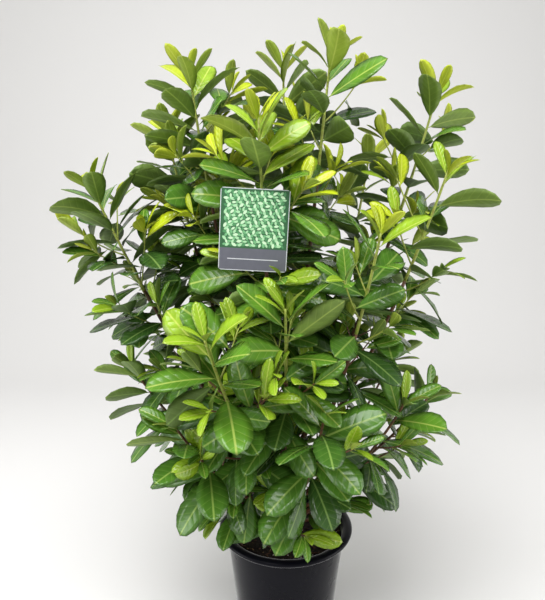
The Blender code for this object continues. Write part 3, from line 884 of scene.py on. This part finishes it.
def leaf_skin(name, code, rib_code, roughness, vein_share):
    """Leaf skin: a pale midrib and side veins, and swells between them that break up the gloss."""
    made, tree, shader = new_material(name, Roughness=roughness, IOR=1.45)
    swell, veins = leaf_veins(tree, vein_share)
    place = node(tree, "ShaderNodeTexCoord").outputs["Object"]
    blotch = node(tree, "ShaderNodeTexNoise", Vector=place, Scale=1 / BLOTCH, Detail=3.0)
    shade = node(
        tree, "ShaderNodeMapRange",
        Value=blotch.outputs["Fac"], From_Min=0.3, From_Max=0.7, To_Min=0.80, To_Max=1.20,
    )
    tinted = node(
        tree, "ShaderNodeVectorMath", {"operation": "SCALE"},
        n0=linear(code)[:3], Scale=shade.outputs[0],
    )
    colour = node(
        tree, "ShaderNodeMix", {"data_type": "RGBA"},
        n0=veins, n6=tinted.outputs[0], n7=linear(rib_code),
    )
    tree.links.new(colour.outputs[2], shader.inputs["Base Color"])
    bump = node(tree, "ShaderNodeBump", Strength=0.38, Distance=0.0010, Height=swell)
    tree.links.new(bump.outputs[0], shader.inputs["Normal"])
    return made


leaf_materials = {}
for kind, (top, under, rib) in LEAF_COLOURS.items():
    leaf_materials[kind] = [
        leaf_skin(f"waxy_leaf_{kind}", top, rib, 0.22, 0.26),
        leaf_skin(f"matt_underside_{kind}", under, rib, 0.55, 0.30),
    ]
print(len(leaf_materials) * 2, "leaf materials")

# %% [markdown]
# ## Many small things in one mesh
# Hundreds of leaves would be hundreds of objects, which is slow and heavy. Instead the
# one modelled leaf is read as an array, and numpy stretches, folds, arches, turns and
# moves a copy for each leaf. All the copies of a kind become one mesh.

# %% Joined meshes
def joined_mesh(name, points, faces, kinds, uvs=None):
    """A piece from arrays of points, four-cornered faces, material numbers and UVs."""
    mesh = bpy.data.meshes.new(name)
    mesh.vertices.add(len(points))
    mesh.vertices.foreach_set("co", np.asarray(points, dtype=np.float32).ravel())
    mesh.loops.add(faces.size)
    mesh.loops.foreach_set("vertex_index", faces.ravel())
    mesh.polygons.add(len(faces))
    mesh.polygons.foreach_set("loop_start", np.arange(0, faces.size, 4))
    mesh.polygons.foreach_set("material_index", np.asarray(kinds, dtype=np.int32))
    mesh.polygons.foreach_set("use_smooth", np.ones(len(faces), dtype=bool))
    mesh.update(calc_edges=True)
    if uvs is not None:
        mesh.uv_layers.new(name="uv").data.foreach_set("uv", np.asarray(uvs, dtype=np.float32).ravel())
    made = bpy.data.objects.new(name, mesh)
    bpy.context.scene.collection.objects.link(made)
    return made


print("joined meshes ready")

# %% Bend the leaves
# The slope of a blade's fold, the height and rate of its waves, the curl of its edge and
# its twist in radians.
FOLD_RANGE = (0.08, 0.20)
YOUNG_FOLD = 0.20
WAVE_HEIGHT = 0.0018
WAVE_RATE = 14
CURL_RANGE = (-0.003, 0.002)
LEAF_TWIST = 0.12


def bent_leaves(rows, seed):
    """The points of all the leaves of one kind, one row for each leaf."""
    chance = np.random.default_rng(seed)
    count = len(rows)
    root, way, face = (np.array([row[i][:] for row in rows]) for i in (1, 2, 3))
    length, width, arch, young = (np.array([row[i] for row in rows])[:, None] for i in (4, 5, 6, 7))
    side = np.cross(face, way)
    side /= np.linalg.norm(side, axis=1, keepdims=True)
    face = np.cross(way, side)
    x = leaf_points[None, :, 0] / LEAF_LENGTH
    y = leaf_points[None, :, 1] * width / LEAF_WIDTH
    z = leaf_points[None, :, 2] + np.zeros((count, 1))
    fold = chance.uniform(*FOLD_RANGE, (count, 1)) + YOUNG_FOLD * young
    wave = chance.uniform(0.0, WAVE_HEIGHT, (count, 1)) * (1 - young)
    curl = chance.uniform(*CURL_RANGE, (count, 1))
    phase = chance.uniform(0, 2 * math.pi, (count, 1))
    across = np.abs(y) / (width / 2)
    # The blade folds along its midrib, curls and waves at its edge, twists, and then arches.
    ripple = np.sin(x * WAVE_RATE + phase) * np.sign(y)
    z = z + np.abs(y) * fold + curl * across ** 2 + wave * across * ripple
    twist = chance.normal(0, LEAF_TWIST, (count, 1)) * x
    y, z = y * np.cos(twist) - z * np.sin(twist), y * np.sin(twist) + z * np.cos(twist)
    angle = arch * x
    ahead = length * np.sin(angle) / arch + z * np.sin(angle)
    rise = z * np.cos(angle) - length * (1 - np.cos(angle)) / arch
    moved = way[:, None, :] * ahead[:, :, None] + side[:, None, :] * y[:, :, None]
    return root[:, None, :] + moved + face[:, None, :] * rise[:, :, None]


print("leaves bend by numpy")

# %% Build the leaves
mass_nodes = ["mass_" + shoot["name"] for shoot in shoots]
for number, kind in enumerate(KINDS):
    rows = [row for row in placed if row[0] == kind]
    points = bent_leaves(rows, 100 + number).reshape(-1, 3)
    shift = np.arange(len(rows))[:, None, None] * len(leaf_points)
    faces = (leaf_faces[None] + shift).reshape(-1, 4)
    sides = np.tile(leaf_is_under, len(rows))
    piece = joined_mesh(f"leaves_{kind}", points, faces, sides, np.tile(leaf_uvs, (len(rows), 1)))
    for material in leaf_materials[kind]:
        piece.data.materials.append(material)
    settle(piece, "foliage", *mass_nodes)
    print("that makes", len(rows), "leaves of the kind", kind)

# %% [markdown]
# ## Stems and twigs
# Young laurel stems are smooth and yellow-green and turn red-brown with age. They are
# round tubes with small swellings, as where leaves grew, joined in two pieces by colour.

# %% Stem materials
# Real flecks are a millimetre or two long, and would not show.
FLECK = 0.006


def stem_skin(name, code, mark_code):
    """Young bark, smooth and half glossy, with darker flecks that keep it from looking painted."""
    made, tree, shader = new_material(name, Roughness=0.5)
    place = node(tree, "ShaderNodeTexCoord").outputs["Object"]
    grain = node(tree, "ShaderNodeTexNoise", Vector=place, Scale=1 / FLECK, Detail=3.0)
    share = node(tree, "ShaderNodeMapRange", Value=grain.outputs["Fac"], From_Min=0.4, From_Max=0.7)
    colour = node(
        tree, "ShaderNodeMix", {"data_type": "RGBA"},
        n0=share.outputs[0], n6=linear(code), n7=linear(mark_code),
    )
    tree.links.new(colour.outputs[2], shader.inputs["Base Color"])
    bump = node(tree, "ShaderNodeBump", Strength=0.3, Distance=0.0006, Height=grain.outputs["Fac"])
    tree.links.new(bump.outputs[0], shader.inputs["Normal"])
    return made


green_stem = stem_skin("green_shoot_bark", "98a845", "7f7a33")
brown_stem = stem_skin("red_brown_shoot_bark", "6a4426", "48301c")
print("stem materials ready")

# %% Tubes for stems and twigs
STEM_SIDES = 8
TWIG_SIDES = 6
TWIG_TAPER = 0.7
SWELLING = 0.10


def join_tubes(name, tubes, material):
    """One piece from many tubes."""
    points, faces = [], []
    for some, quads in tubes:
        faces += [tuple(v + len(points) for v in quad) for quad in quads]
        points += [p[:] for p in some]
    piece = joined_mesh(name, np.array(points), np.array(faces), np.zeros(len(faces)))
    piece.data.materials.append(material)
    settle(piece, "foliage", *mass_nodes)


def knotted_radii(foot, tip, count):
    """Radii with a swelling at every other ring."""
    return [mix(foot, tip, i / (count - 1)) * (1.0 + SWELLING * (i % 2)) for i in range(count)]


def twig_tube(points):
    """A fine twig's tube."""
    radii = knotted_radii(TWIG_RADIUS, TWIG_RADIUS * TWIG_TAPER, len(points))
    return tube(points, radii, TWIG_SIDES)


print("a twig tapers to", round(TWIG_RADIUS * TWIG_TAPER * 2000, 1), "mm")

# %% Build the stems
# Twigs that start above this height are still green.
GREEN_ABOVE = 0.75

green, brown = [], []
for shoot in shoots:
    stem = shoot["stem"]
    radii = knotted_radii(STEM_FOOT_RADIUS, STEM_TIP_RADIUS, len(stem))
    half = len(stem) // 2
    if shoot["bough"]:
        brown.append(tube(stem[:half + 1], radii[:half + 1], STEM_SIDES))
        green.append(tube(stem[half:], radii[half:], STEM_SIDES))
    else:
        brown.append(tube(stem, radii, STEM_SIDES))
    for points in shoot["side"]:
        target = green if points[0].z > GREEN_ABOVE else brown
        target.append(twig_tube(points))
    for points in shoot["inner"]:
        brown.append(twig_tube(points))
join_tubes("stems_green", green, green_stem)
join_tubes("stems_brown", brown, brown_stem)
print(len(green), "green tubes and", len(brown), "brown ones")

# %% [markdown]
# ## Trunk and boughs
# The old wood is dull brown with fine cracks and small pale breathing pores. Each limb
# is a curve with a round section and its own taper, turned into a mesh, and a Displace
# modifier raises the bark. A bump map alone would leave the outline smooth.

# %% Bark material
# The cracks and pores are drawn a little coarser than life, so that they show.
FIBRE_WIDTH = 0.004
FIBRE_LENGTH = 0.014
PORE_GAP = 0.006


def bark_skin():
    """Old laurel bark: dull upright fibres from dark to mid brown, flecked with pale pores."""
    made, tree, shader = new_material("cracked_laurel_bark", Roughness=0.8)
    place = node(tree, "ShaderNodeTexCoord").outputs["Object"]
    stretch = (1 / FIBRE_WIDTH, 1 / FIBRE_WIDTH, 1 / FIBRE_LENGTH)
    long_way = node(tree, "ShaderNodeMapping", Vector=place, Scale=stretch).outputs[0]
    fibre = node(tree, "ShaderNodeTexNoise", Vector=long_way, Scale=1.0, Detail=4.0)
    pores = node(tree, "ShaderNodeTexVoronoi", Vector=place, Scale=1 / PORE_GAP)
    pore = node(
        tree, "ShaderNodeMapRange",
        Value=pores.outputs["Distance"], From_Min=0.12, From_Max=0.22, To_Min=1.0, To_Max=0.0,
    )
    base = node(
        tree, "ShaderNodeMix", {"data_type": "RGBA"},
        n0=fibre.outputs["Fac"], n6=linear("3a2418"), n7=linear("7a5638"),
    )
    colour = node(
        tree, "ShaderNodeMix", {"data_type": "RGBA"},
        n0=pore.outputs[0], n6=base.outputs[2], n7=linear("a08a68"),
    )
    tree.links.new(colour.outputs[2], shader.inputs["Base Color"])
    bump = node(tree, "ShaderNodeBump", Strength=0.6, Distance=0.0008, Height=fibre.outputs["Fac"])
    tree.links.new(bump.outputs[0], shader.inputs["Normal"])
    return made


bark = bark_skin()
BARK_GRAIN = 0.007
relief = bpy.data.textures.new("bark_relief", "CLOUDS")
relief.noise_scale = BARK_GRAIN
relief.noise_depth = 3
print("bark ready")

# %% One limb
BARK_RELIEF = 0.0016
# Cracks go a little deeper in than ridges stand out.
BARK_LEVEL = 0.6
LIMB_ROUNDNESS = 6


def limb(name, points, radii, replaced):
    """A limb with raised bark, from a round curve."""
    deselect()
    line = bpy.data.curves.new(name, "CURVE")
    line.dimensions = "3D"
    line.bevel_depth = 1.0
    line.bevel_resolution = LIMB_ROUNDNESS
    line.use_fill_caps = True
    spline = line.splines.new("POLY")
    spline.points.add(len(points) - 1)
    for spot, place, radius in zip(spline.points, points, radii):
        spot.co = (*place, 1.0)
        spot.radius = radius
    piece = bpy.data.objects.new("limb_" + name, line)
    bpy.context.scene.collection.objects.link(piece)
    piece.select_set(True)
    bpy.context.view_layer.objects.active = piece
    bpy.ops.object.convert(target="MESH")
    piece = bpy.context.object
    edit(piece, "SELECT")
    bpy.ops.mesh.remove_doubles(threshold=0.00001)
    face_outwards(piece)
    raised = piece.modifiers.new("bark", "DISPLACE")
    raised.texture = relief
    raised.texture_coords = "LOCAL"
    raised.strength = BARK_RELIEF
    raised.mid_level = BARK_LEVEL
    bpy.ops.object.modifier_apply(modifier=raised.name)
    bpy.ops.object.shade_smooth()
    piece.data.materials.clear()
    piece.data.materials.append(bark)
    settle(piece, "bark", replaced)


print("the bark's relief is", round(BARK_RELIEF * 1000, 1), "mm deep")

# %% Build the limbs
TRUNK_RINGS = 70
FOOT_CROWDING = 1.3

# The rings stand closer together near the foot, where the trunk flares.
ring_shares = [(i / (TRUNK_RINGS - 1)) ** FOOT_CROWDING for i in range(TRUNK_RINGS)]
heights = [mix(TRUNK_FOOT, TRUNK_TOP, share) for share in ring_shares]
limb("trunk", [trunk_centre(h) for h in heights], [trunk_radius(h) for h in heights], "trunk")
for shoot in shoots:
    if shoot["bough"]:
        points = shoot["bough"]
        last = len(points) - 1
        radii = [mix(BOUGH_FOOT_RADIUS, BOUGH_TIP_RADIUS, i / last) for i in range(last + 1)]
        limb(shoot["name"], points, radii, "bough_" + shoot["name"])
print("one trunk and", sum(1 for shoot in shoots if shoot["bough"]), "boughs")

# %% [markdown]
# ## The pot
# A nursery pot is injection moulded in black polypropylene: smooth, slightly bluish,
# with a broad rolled lip that stiffens its mouth. It is turned from its profile, ring by
# ring, so that the lip is truly round.

# %% Turned pieces
def turned_piece(name, profile, sides):
    """A round closed piece: a disc extruded ring by ring along a profile."""
    deselect()
    radius, height = profile[0]
    foot = (0, 0, height)
    bpy.ops.mesh.primitive_circle_add(vertices=sides, radius=radius, fill_type="NGON", location=foot)
    piece = bpy.context.object
    piece.name = name
    edit(piece, "SELECT")
    for (r0, z0), (r1, z1) in zip(profile, profile[1:]):
        bpy.ops.mesh.extrude_region_move(TRANSFORM_OT_translate={"value": (0, 0, z1 - z0)})
        bpy.ops.transform.resize(value=(r1 / r0, r1 / r0, 1))
    bpy.ops.object.mode_set(mode="OBJECT")
    bpy.ops.object.transform_apply(location=True, rotation=True, scale=True)
    face_outwards(piece)
    return piece


def arc(centre, radii, first, last, count):
    """Points on an ellipse between two angles in degrees."""
    angles = [math.radians(mix(first, last, i / (count - 1))) for i in range(count)]
    return [(centre[0] + radii[0] * math.cos(a), centre[1] + radii[1] * math.sin(a)) for a in angles]


print("a quarter circle of radius 1 ends at height", arc((0, 0), (1, 1), 0, 90, 2)[-1][1])

# %% The pot's shell
POT_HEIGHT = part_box("pot")[1].z
POT_RIM_RADIUS = 0.170
POT_MOUTH_RADIUS = 0.147
POT_NECK_RADIUS = 0.150
POT_FOOT_RADIUS = 0.1215
LIP_HEIGHT = 0.015
LIP_ARC = (-75, 165)
LIP_POINTS = 18
FOOT_RING = 0.012
FOOT_SLOPE = 0.002
FOOT_EDGE = 0.003
SIDE_RINGS = 12
# The inner wall goes down into the compost and ends there, out of sight.
INNER_WALL = [(0.1445, 0.262), (0.1435, 0.250)]
POT_SIDES = 128
SHARP_ANGLE = math.radians(40)

lip_centre = ((POT_RIM_RADIUS + POT_MOUTH_RADIUS) / 2, POT_HEIGHT - LIP_HEIGHT / 2)
lip_radii = ((POT_RIM_RADIUS - POT_MOUTH_RADIUS) / 2, LIP_HEIGHT / 2)
# The pot stands on a low ring round its foot.
profile = [
    (POT_FOOT_RADIUS - FOOT_RING, FOOT_EDGE), (POT_FOOT_RADIUS - FOOT_RING + FOOT_SLOPE, 0.0),
    (POT_FOOT_RADIUS - FOOT_EDGE, 0.0), (POT_FOOT_RADIUS, FOOT_EDGE),
]
for i in range(1, SIDE_RINGS + 1):
    share = i / SIDE_RINGS
    height = mix(FOOT_EDGE, POT_HEIGHT - LIP_HEIGHT, share)
    profile.append((mix(POT_FOOT_RADIUS, POT_NECK_RADIUS, share), height))
profile += arc(lip_centre, lip_radii, *LIP_ARC, LIP_POINTS)
profile += INNER_WALL
pot = turned_piece("pot_shell", profile, POT_SIDES)
bpy.ops.object.shade_smooth_by_angle(angle=SHARP_ANGLE)
print("pot profile has", len(profile), "points")

# %% Pot material
DULL_PATCH = 0.070
# The moulded grain is finer than this, but it would not show.
MOULD_GRAIN = 0.0011


def pot_plastic():
    """Moulded black polypropylene: blue-black, with a weak mirror on its face. A film of
    dust, given by sheen, lights it up where the eye skims its sides."""
    made, tree, shader = new_material(
        "moulded_black_polypropylene", Specular_IOR_Level=0.10, Sheen_Weight=1.0, Sheen_Roughness=0.25
    )
    place = node(tree, "ShaderNodeTexCoord").outputs["Object"]
    cloud = node(tree, "ShaderNodeTexNoise", Vector=place, Scale=1 / DULL_PATCH, Detail=4.0)
    colour = node(
        tree, "ShaderNodeMix", {"data_type": "RGBA"},
        n0=cloud.outputs["Fac"], n6=linear("04040a"), n7=linear("0a0a14"),
    )
    tree.links.new(colour.outputs[2], shader.inputs["Base Color"])
    dull = node(
        tree, "ShaderNodeMapRange",
        Value=cloud.outputs["Fac"], From_Min=0.3, From_Max=0.7, To_Min=0.24, To_Max=0.36,
    )
    tree.links.new(dull.outputs[0], shader.inputs["Roughness"])
    grain = node(tree, "ShaderNodeTexNoise", Vector=place, Scale=1 / MOULD_GRAIN, Detail=1.0)
    bump = node(tree, "ShaderNodeBump", Strength=0.12, Distance=0.0003, Height=grain.outputs["Fac"])
    tree.links.new(bump.outputs[0], shader.inputs["Normal"])
    return made


pot.data.materials.append(pot_plastic())
settle(pot, "pot", "pot")
print("the pot is", pot.data.materials[0].name)

# %% [markdown]
# ## The compost
# Potting compost is dark, moist and crumbly, with chips of bark on top and a few white
# grains that keep it airy. It is a turned solid that fills the pot, roughened by a
# Displace modifier, and the chips are one small block, copied some hundreds of times.

# %% Compost material
CRUMB = 0.0045


def compost_skin():
    """Moist sieved compost: nearly black crumbs without gloss, on which the chips stand out."""
    made, tree, shader = new_material("moist_compost", Roughness=0.95)
    place = node(tree, "ShaderNodeTexCoord").outputs["Object"]
    crumb = node(tree, "ShaderNodeTexNoise", Vector=place, Scale=1 / CRUMB, Detail=5.0)
    colour = node(
        tree, "ShaderNodeMix", {"data_type": "RGBA"},
        n0=crumb.outputs["Fac"], n6=linear("0b0605"), n7=linear("2c1b13"),
    )
    tree.links.new(colour.outputs[2], shader.inputs["Base Color"])
    bump = node(tree, "ShaderNodeBump", Strength=0.8, Distance=0.002, Height=crumb.outputs["Fac"])
    tree.links.new(bump.outputs[0], shader.inputs["Normal"])
    return made


compost = compost_skin()
print("crumbs are", round(CRUMB * 1000, 1), "mm across")

# %% Build the compost
SOIL_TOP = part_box("soil")[1].z
SOIL_RADIUS = 0.1440
SOIL_FOOT = (0.110, 0.010)
SOIL_DROP = 0.004
SOIL_RINGS = 28
SOIL_SIDES = 96
UNDER_TOP = 0.0015
CLOD = 0.009
CLOD_RELIEF = 0.006
CLOD_LEVEL = 0.75

rings = []
for i in range(SOIL_RINGS, 0, -1):
    share = i / SOIL_RINGS
    rings.append((SOIL_RADIUS * share, SOIL_TOP - UNDER_TOP - SOIL_DROP * share ** 2))
soil = turned_piece("compost", [SOIL_FOOT] + rings, SOIL_SIDES)
crumbs = bpy.data.textures.new("crumbs", "CLOUDS")
crumbs.noise_scale = CLOD
rough = soil.modifiers.new("crumbs", "DISPLACE")
rough.texture = crumbs
rough.texture_coords = "LOCAL"
rough.strength = CLOD_RELIEF
rough.mid_level = CLOD_LEVEL
bpy.ops.object.modifier_apply(modifier=rough.name)
bpy.ops.object.shade_smooth()
soil.data.materials.append(compost)
settle(soil, "soil", "soil")
print("the compost's top lies", round(SOIL_TOP * 1000), "mm above the pot's foot")

# %% Model one chip
deselect()
bpy.ops.mesh.primitive_cube_add(size=1.0)
chip = bpy.context.object
edit(chip, "SELECT")
bpy.ops.mesh.bevel(offset=0.18, segments=1)
bpy.ops.object.mode_set(mode="OBJECT")
chip_points = [v.co.copy() for v in chip.data.vertices]
chip_faces = [tuple(f.vertices) for f in chip.data.polygons]
bpy.data.objects.remove(chip)
print("one chip has", len(chip_faces), "faces")

# %% Scatter the chips
CHIP_FIBRE = 0.0025
CHIP_REACH = 0.138
# No chip lies against the trunk: this share of the area round it stays bare.
BARE_MIDDLE = 0.06
CHIP_SUNK = 0.002
CHIP_SHORTEST = 0.003
CHIP_SLIM = (0.3, 0.6)
CHIP_THICK = (0.0012, 0.0025)
CHIP_TILT = 0.3


def chips(name, count, code, longest, seed):
    """Chips lying flat on the compost, joined: broken wood or grit, dull, with short fibres."""
    chance = random.Random(seed)
    points, faces = [], []
    for _ in range(count):
        reach = CHIP_REACH * math.sqrt(chance.uniform(BARE_MIDDLE, 1.0))
        drop = SOIL_DROP * (reach / SOIL_RADIUS) ** 2
        place = polar(chance.uniform(0, 360), reach, SOIL_TOP - CHIP_SUNK - drop)
        long = chance.uniform(CHIP_SHORTEST, longest)
        size = (long, long * chance.uniform(*CHIP_SLIM), chance.uniform(*CHIP_THICK))
        turn = Matrix.Rotation(chance.uniform(0, 6.28), 3, "Z")
        turn @= Matrix.Rotation(chance.gauss(0, CHIP_TILT), 3, "X")
        faces += [tuple(v + len(points) for v in face) for face in chip_faces]
        points += [place + turn @ Vector([a * b for a, b in zip(p, size)]) for p in chip_points]
    mesh = bpy.data.meshes.new(name)
    mesh.from_pydata([p[:] for p in points], [], faces)
    piece = bpy.data.objects.new(name, mesh)
    bpy.context.scene.collection.objects.link(piece)
    material, tree, shader = new_material(name + "_skin", Roughness=0.85)
    place = node(tree, "ShaderNodeTexCoord").outputs["Object"]
    fibre = node(tree, "ShaderNodeTexNoise", Vector=place, Scale=1 / CHIP_FIBRE, Detail=3.0)
    shade = node(tree, "ShaderNodeMapRange", Value=fibre.outputs["Fac"], To_Min=0.6, To_Max=1.4)
    tinted = node(
        tree, "ShaderNodeVectorMath", {"operation": "SCALE"},
        n0=linear(code)[:3], Scale=shade.outputs[0],
    )
    tree.links.new(tinted.outputs[0], shader.inputs["Base Color"])
    mesh.materials.append(material)
    settle(piece, "soil", "soil")
    print(count, name.replace("_", " "))


chips("dark_chips", 450, "23140c", 0.010, 21)
chips("brown_chips", 260, "4d2f1e", 0.010, 22)
chips("pale_chips", 60, "8a6c4e", 0.007, 23)
chips("white_grains", 60, "d8d2c8", 0.004, 24)

# %% [markdown]
# ## The card label
# A stiff printed plastic card hangs by a strap from a front stem. Its plain design is
# rows of small leaves in four greens over a dark ground, above a plain slate band. The
# card is a plane with rounded corners given a thickness, and the leaves are thin flat
# shapes laid on it, because colours on a flat card need no image.

# %% Card plane
CARD_WIDTH = 0.136
CARD_HEIGHT = 0.162
CARD_THICK = 0.0012
CARD_CORNER = 0.006
CARD_TURN = math.radians(3)
INK_THICK = 0.0002

card_middle = (label_low + label_high) / 2
card_middle.y = label_low.y + CARD_THICK / 2
card_place = Matrix.Translation(card_middle) @ Matrix.Rotation(CARD_TURN, 4, "Y")
half_card = CARD_THICK / 2
print("the card hangs at", [round(v, 3) for v in card_middle])

# %% Card material
INK_CLOUD = 0.011


def printed_plastic(name, code):
    """Printed polypropylene card: flat ink, a little uneven, half glossy."""
    made, tree, shader = new_material(name, Roughness=0.35, IOR=1.5)
    place = node(tree, "ShaderNodeTexCoord").outputs["Object"]
    ink = node(tree, "ShaderNodeTexNoise", Vector=place, Scale=1 / INK_CLOUD, Detail=2.0)
    shade = node(tree, "ShaderNodeMapRange", Value=ink.outputs["Fac"], To_Min=0.90, To_Max=1.10)
    tinted = node(
        tree, "ShaderNodeVectorMath", {"operation": "SCALE"},
        n0=linear(code)[:3], Scale=shade.outputs[0],
    )
    tree.links.new(tinted.outputs[0], shader.inputs["Base Color"])
    return made


white_card = printed_plastic("white_card_plastic", "c9cdd0")
green_ink = printed_plastic("dark_green_ink", "305f3c")
slate_ink = printed_plastic("slate_ink", "5e5f69")
pale_ink = printed_plastic("pale_ink", "c4c6cc")
print("card and inks:", white_card.name, green_ink.name, slate_ink.name, pale_ink.name)

# %% A sheet of the card
CORNER_STEPS = 5


def sheet(name, size, corner, thick, up, behind, material):
    """A sheet in the card's plane, so far up from its middle and behind the solid's face."""
    deselect()
    bpy.ops.mesh.primitive_plane_add(size=1.0, rotation=(math.pi / 2, 0, 0))
    piece = bpy.context.object
    piece.name = name
    piece.scale = (*size, 1)
    bpy.ops.object.transform_apply(location=False, rotation=True, scale=True)
    edit(piece, "SELECT")
    if corner:
        bpy.ops.mesh.bevel(offset=corner, segments=CORNER_STEPS, affect="VERTICES")
        bpy.ops.mesh.select_all(action="SELECT")
    bpy.ops.mesh.extrude_region_move(TRANSFORM_OT_translate={"value": (0, thick, 0)})
    bpy.ops.object.mode_set(mode="OBJECT")
    face_outwards(piece)
    piece.data.transform(card_place @ Matrix.Translation((0, behind - half_card, up)))
    piece.data.materials.append(material)
    settle(piece, "label", "label")


print("a sheet of ink is", round(INK_THICK * 1000, 2), "mm thick")

# %% Build the card
FIELD_HEIGHT = 0.116
MARGIN = 0.0015
RULE_SHARE = 0.74
RULE_HEIGHT = 0.0018
BAND_HEIGHT = CARD_HEIGHT - FIELD_HEIGHT - MARGIN * 2
field_up = CARD_HEIGHT / 2 - MARGIN - FIELD_HEIGHT / 2
band_up = MARGIN + BAND_HEIGHT / 2 - CARD_HEIGHT / 2
across_card = CARD_WIDTH - MARGIN * 2
body_thick = CARD_THICK - INK_THICK
ink_behind = INK_THICK / 2
rule_size = (CARD_WIDTH * RULE_SHARE, RULE_HEIGHT)
sheet("card_body", (CARD_WIDTH, CARD_HEIGHT), CARD_CORNER, body_thick, 0, INK_THICK, white_card)
sheet("card_field", (across_card, FIELD_HEIGHT), 0, INK_THICK, field_up, ink_behind, green_ink)
sheet("card_band", (across_card, BAND_HEIGHT), 0, INK_THICK, band_up, ink_behind, slate_ink)
sheet("card_rule", rule_size, 0, INK_THICK, band_up, 0, pale_ink)
print("the slate band is", round(BAND_HEIGHT * 1000), "mm high")

# %% Places of the printed leaves
PRINT_STEP = 0.0064
PRINT_ROWS = 17
PRINT_COLUMNS = 21
PRINT_STRAY = 0.0007
PRINT_EDGE = 0.006
PRINT_SLANT = 38
PRINT_WOBBLE = 0.9
PRINT_SIZES = (0.0078, 0.0116)

chance = random.Random(SEED + 20)
print_places = []
for row in range(PRINT_ROWS):
    for column in range(PRINT_COLUMNS):
        across = (column - PRINT_COLUMNS // 2 + 0.5 * (row % 2)) * PRINT_STEP
        up = field_up + (row - PRINT_ROWS // 2) * PRINT_STEP
        if abs(across) < across_card / 2 - PRINT_EDGE:
            turn = math.radians(PRINT_SLANT if row % 2 else -PRINT_SLANT) + chance.gauss(0, PRINT_WOBBLE)
            across += chance.uniform(-PRINT_STRAY, PRINT_STRAY)
            up += chance.uniform(-PRINT_STRAY, PRINT_STRAY)
            print_places.append((across, up, turn, chance.uniform(*PRINT_SIZES)))
print(len(print_places), "printed leaves")

# %% Printed leaves
LEAF_PRINT = [
    (-0.5, 0.0), (-0.28, 0.20), (0.05, 0.27), (0.33, 0.17),
    (0.5, 0.0), (0.33, -0.17), (0.05, -0.27), (-0.28, -0.20),
]
PRINT_GREENS = ("70ad7a", "a2d0a2", "4c8a5a", "c2e0bc")
# How far the first green stands out past the solid card's face, and each other one past
# the one before, as shares of the ink's thickness.
PRINT_PROUD = 0.2
PRINT_RISE = 0.1


def printed_leaves(name, code, chosen):
    """Every fourth place of the pattern gets one small flat leaf of this colour."""
    points, faces = [], []
    count = len(LEAF_PRINT)
    for across, up, turn, size in print_places[chosen::len(PRINT_GREENS)]:
        first = len(points)
        for level in (INK_THICK / 2, -INK_THICK * (PRINT_PROUD + PRINT_RISE * chosen)):
            for x, z in LEAF_PRINT:
                flat = Matrix.Rotation(turn, 3, "Y") @ Vector((x, 0, z)) * size
                points.append(card_place @ Vector((across + flat.x, level - half_card, up + flat.z)))
        faces.append(tuple(range(first, first + count)))
        faces.append(tuple(reversed(range(first + count, first + 2 * count))))
        for k in range(count):
            after = (k + 1) % count
            faces.append((first + k, first + count + k, first + count + after, first + after))
    mesh = bpy.data.meshes.new(name)
    mesh.from_pydata([p[:] for p in points], [], faces)
    piece = bpy.data.objects.new(name, mesh)
    bpy.context.scene.collection.objects.link(piece)
    face_outwards(piece)
    mesh.materials.append(printed_plastic(name + "_ink", code))
    settle(piece, "label", "label")


for number, code in enumerate(PRINT_GREENS):
    printed_leaves(f"printed_leaves_{number + 1}", code, number)
print("printed in", len(PRINT_GREENS), "greens")

# %% Loop
CARD_SHIFT = -0.011
CARD_FORWARD = 0.050
STRAP_WIDTH = 0.012
STRAP_THICK = 0.0014
LOOP_INNER = 0.0042
LOOP_WALL = 0.0016
LOOP_HEIGHT = 0.010
HANG_SHARE = 0.71

card_top = card_place @ Vector((0, 0, CARD_HEIGHT / 2))
hook = card_top - Vector((CARD_SHIFT, -CARD_FORWARD, STRAP_WIDTH))
bearer = next(shoot["stem"] for shoot in shoots if shoot["name"] == "bright")
stem_way = along(bearer, HANG_SHARE)[1]
deselect()
bpy.ops.mesh.primitive_cylinder_add(
    vertices=24, radius=LOOP_INNER, depth=LOOP_HEIGHT, end_fill_type="NOTHING"
)
loop = bpy.context.object
loop.name = "label_loop"
wall = loop.modifiers.new("wall", "SOLIDIFY")
wall.thickness = LOOP_WALL
wall.offset = 1.0
bpy.ops.object.modifier_apply(modifier=wall.name)
bpy.ops.object.shade_smooth_by_angle(angle=SHARP_ANGLE)
loop.data.transform(Matrix.Translation(hook) @ UP.rotation_difference(stem_way).to_matrix().to_4x4())
loop.data.materials.append(white_card)
settle(loop, "label", "label")
off = min((hook - along(bearer, i / 1000)[0]).length for i in range(1001))
print("the loop's middle is", round(off * 1000, 2), "mm off its stem")

# %% Strap
# The strap starts inside the wall of the loop.
STRAP_START = 0.45
STRAP_EDGE = 0.0004
near = LOOP_INNER + LOOP_WALL * STRAP_START
bpy.ops.mesh.primitive_cube_add(size=1.0)
strap = bpy.context.object
strap.name = "label_strap"
strap.scale = (STRAP_WIDTH, CARD_FORWARD - near, STRAP_THICK)
bpy.ops.object.transform_apply(scale=True)
edit(strap, "SELECT")
bpy.ops.mesh.bevel(offset=STRAP_EDGE, segments=2)
bpy.ops.object.mode_set(mode="OBJECT")
strap.data.transform(Matrix.Translation(hook - Vector((0, (CARD_FORWARD + near) / 2, 0))))
strap.data.materials.append(white_card)
settle(strap, "label", "label")
print("the strap is", round((CARD_FORWARD - near) * 1000, 1), "mm long")
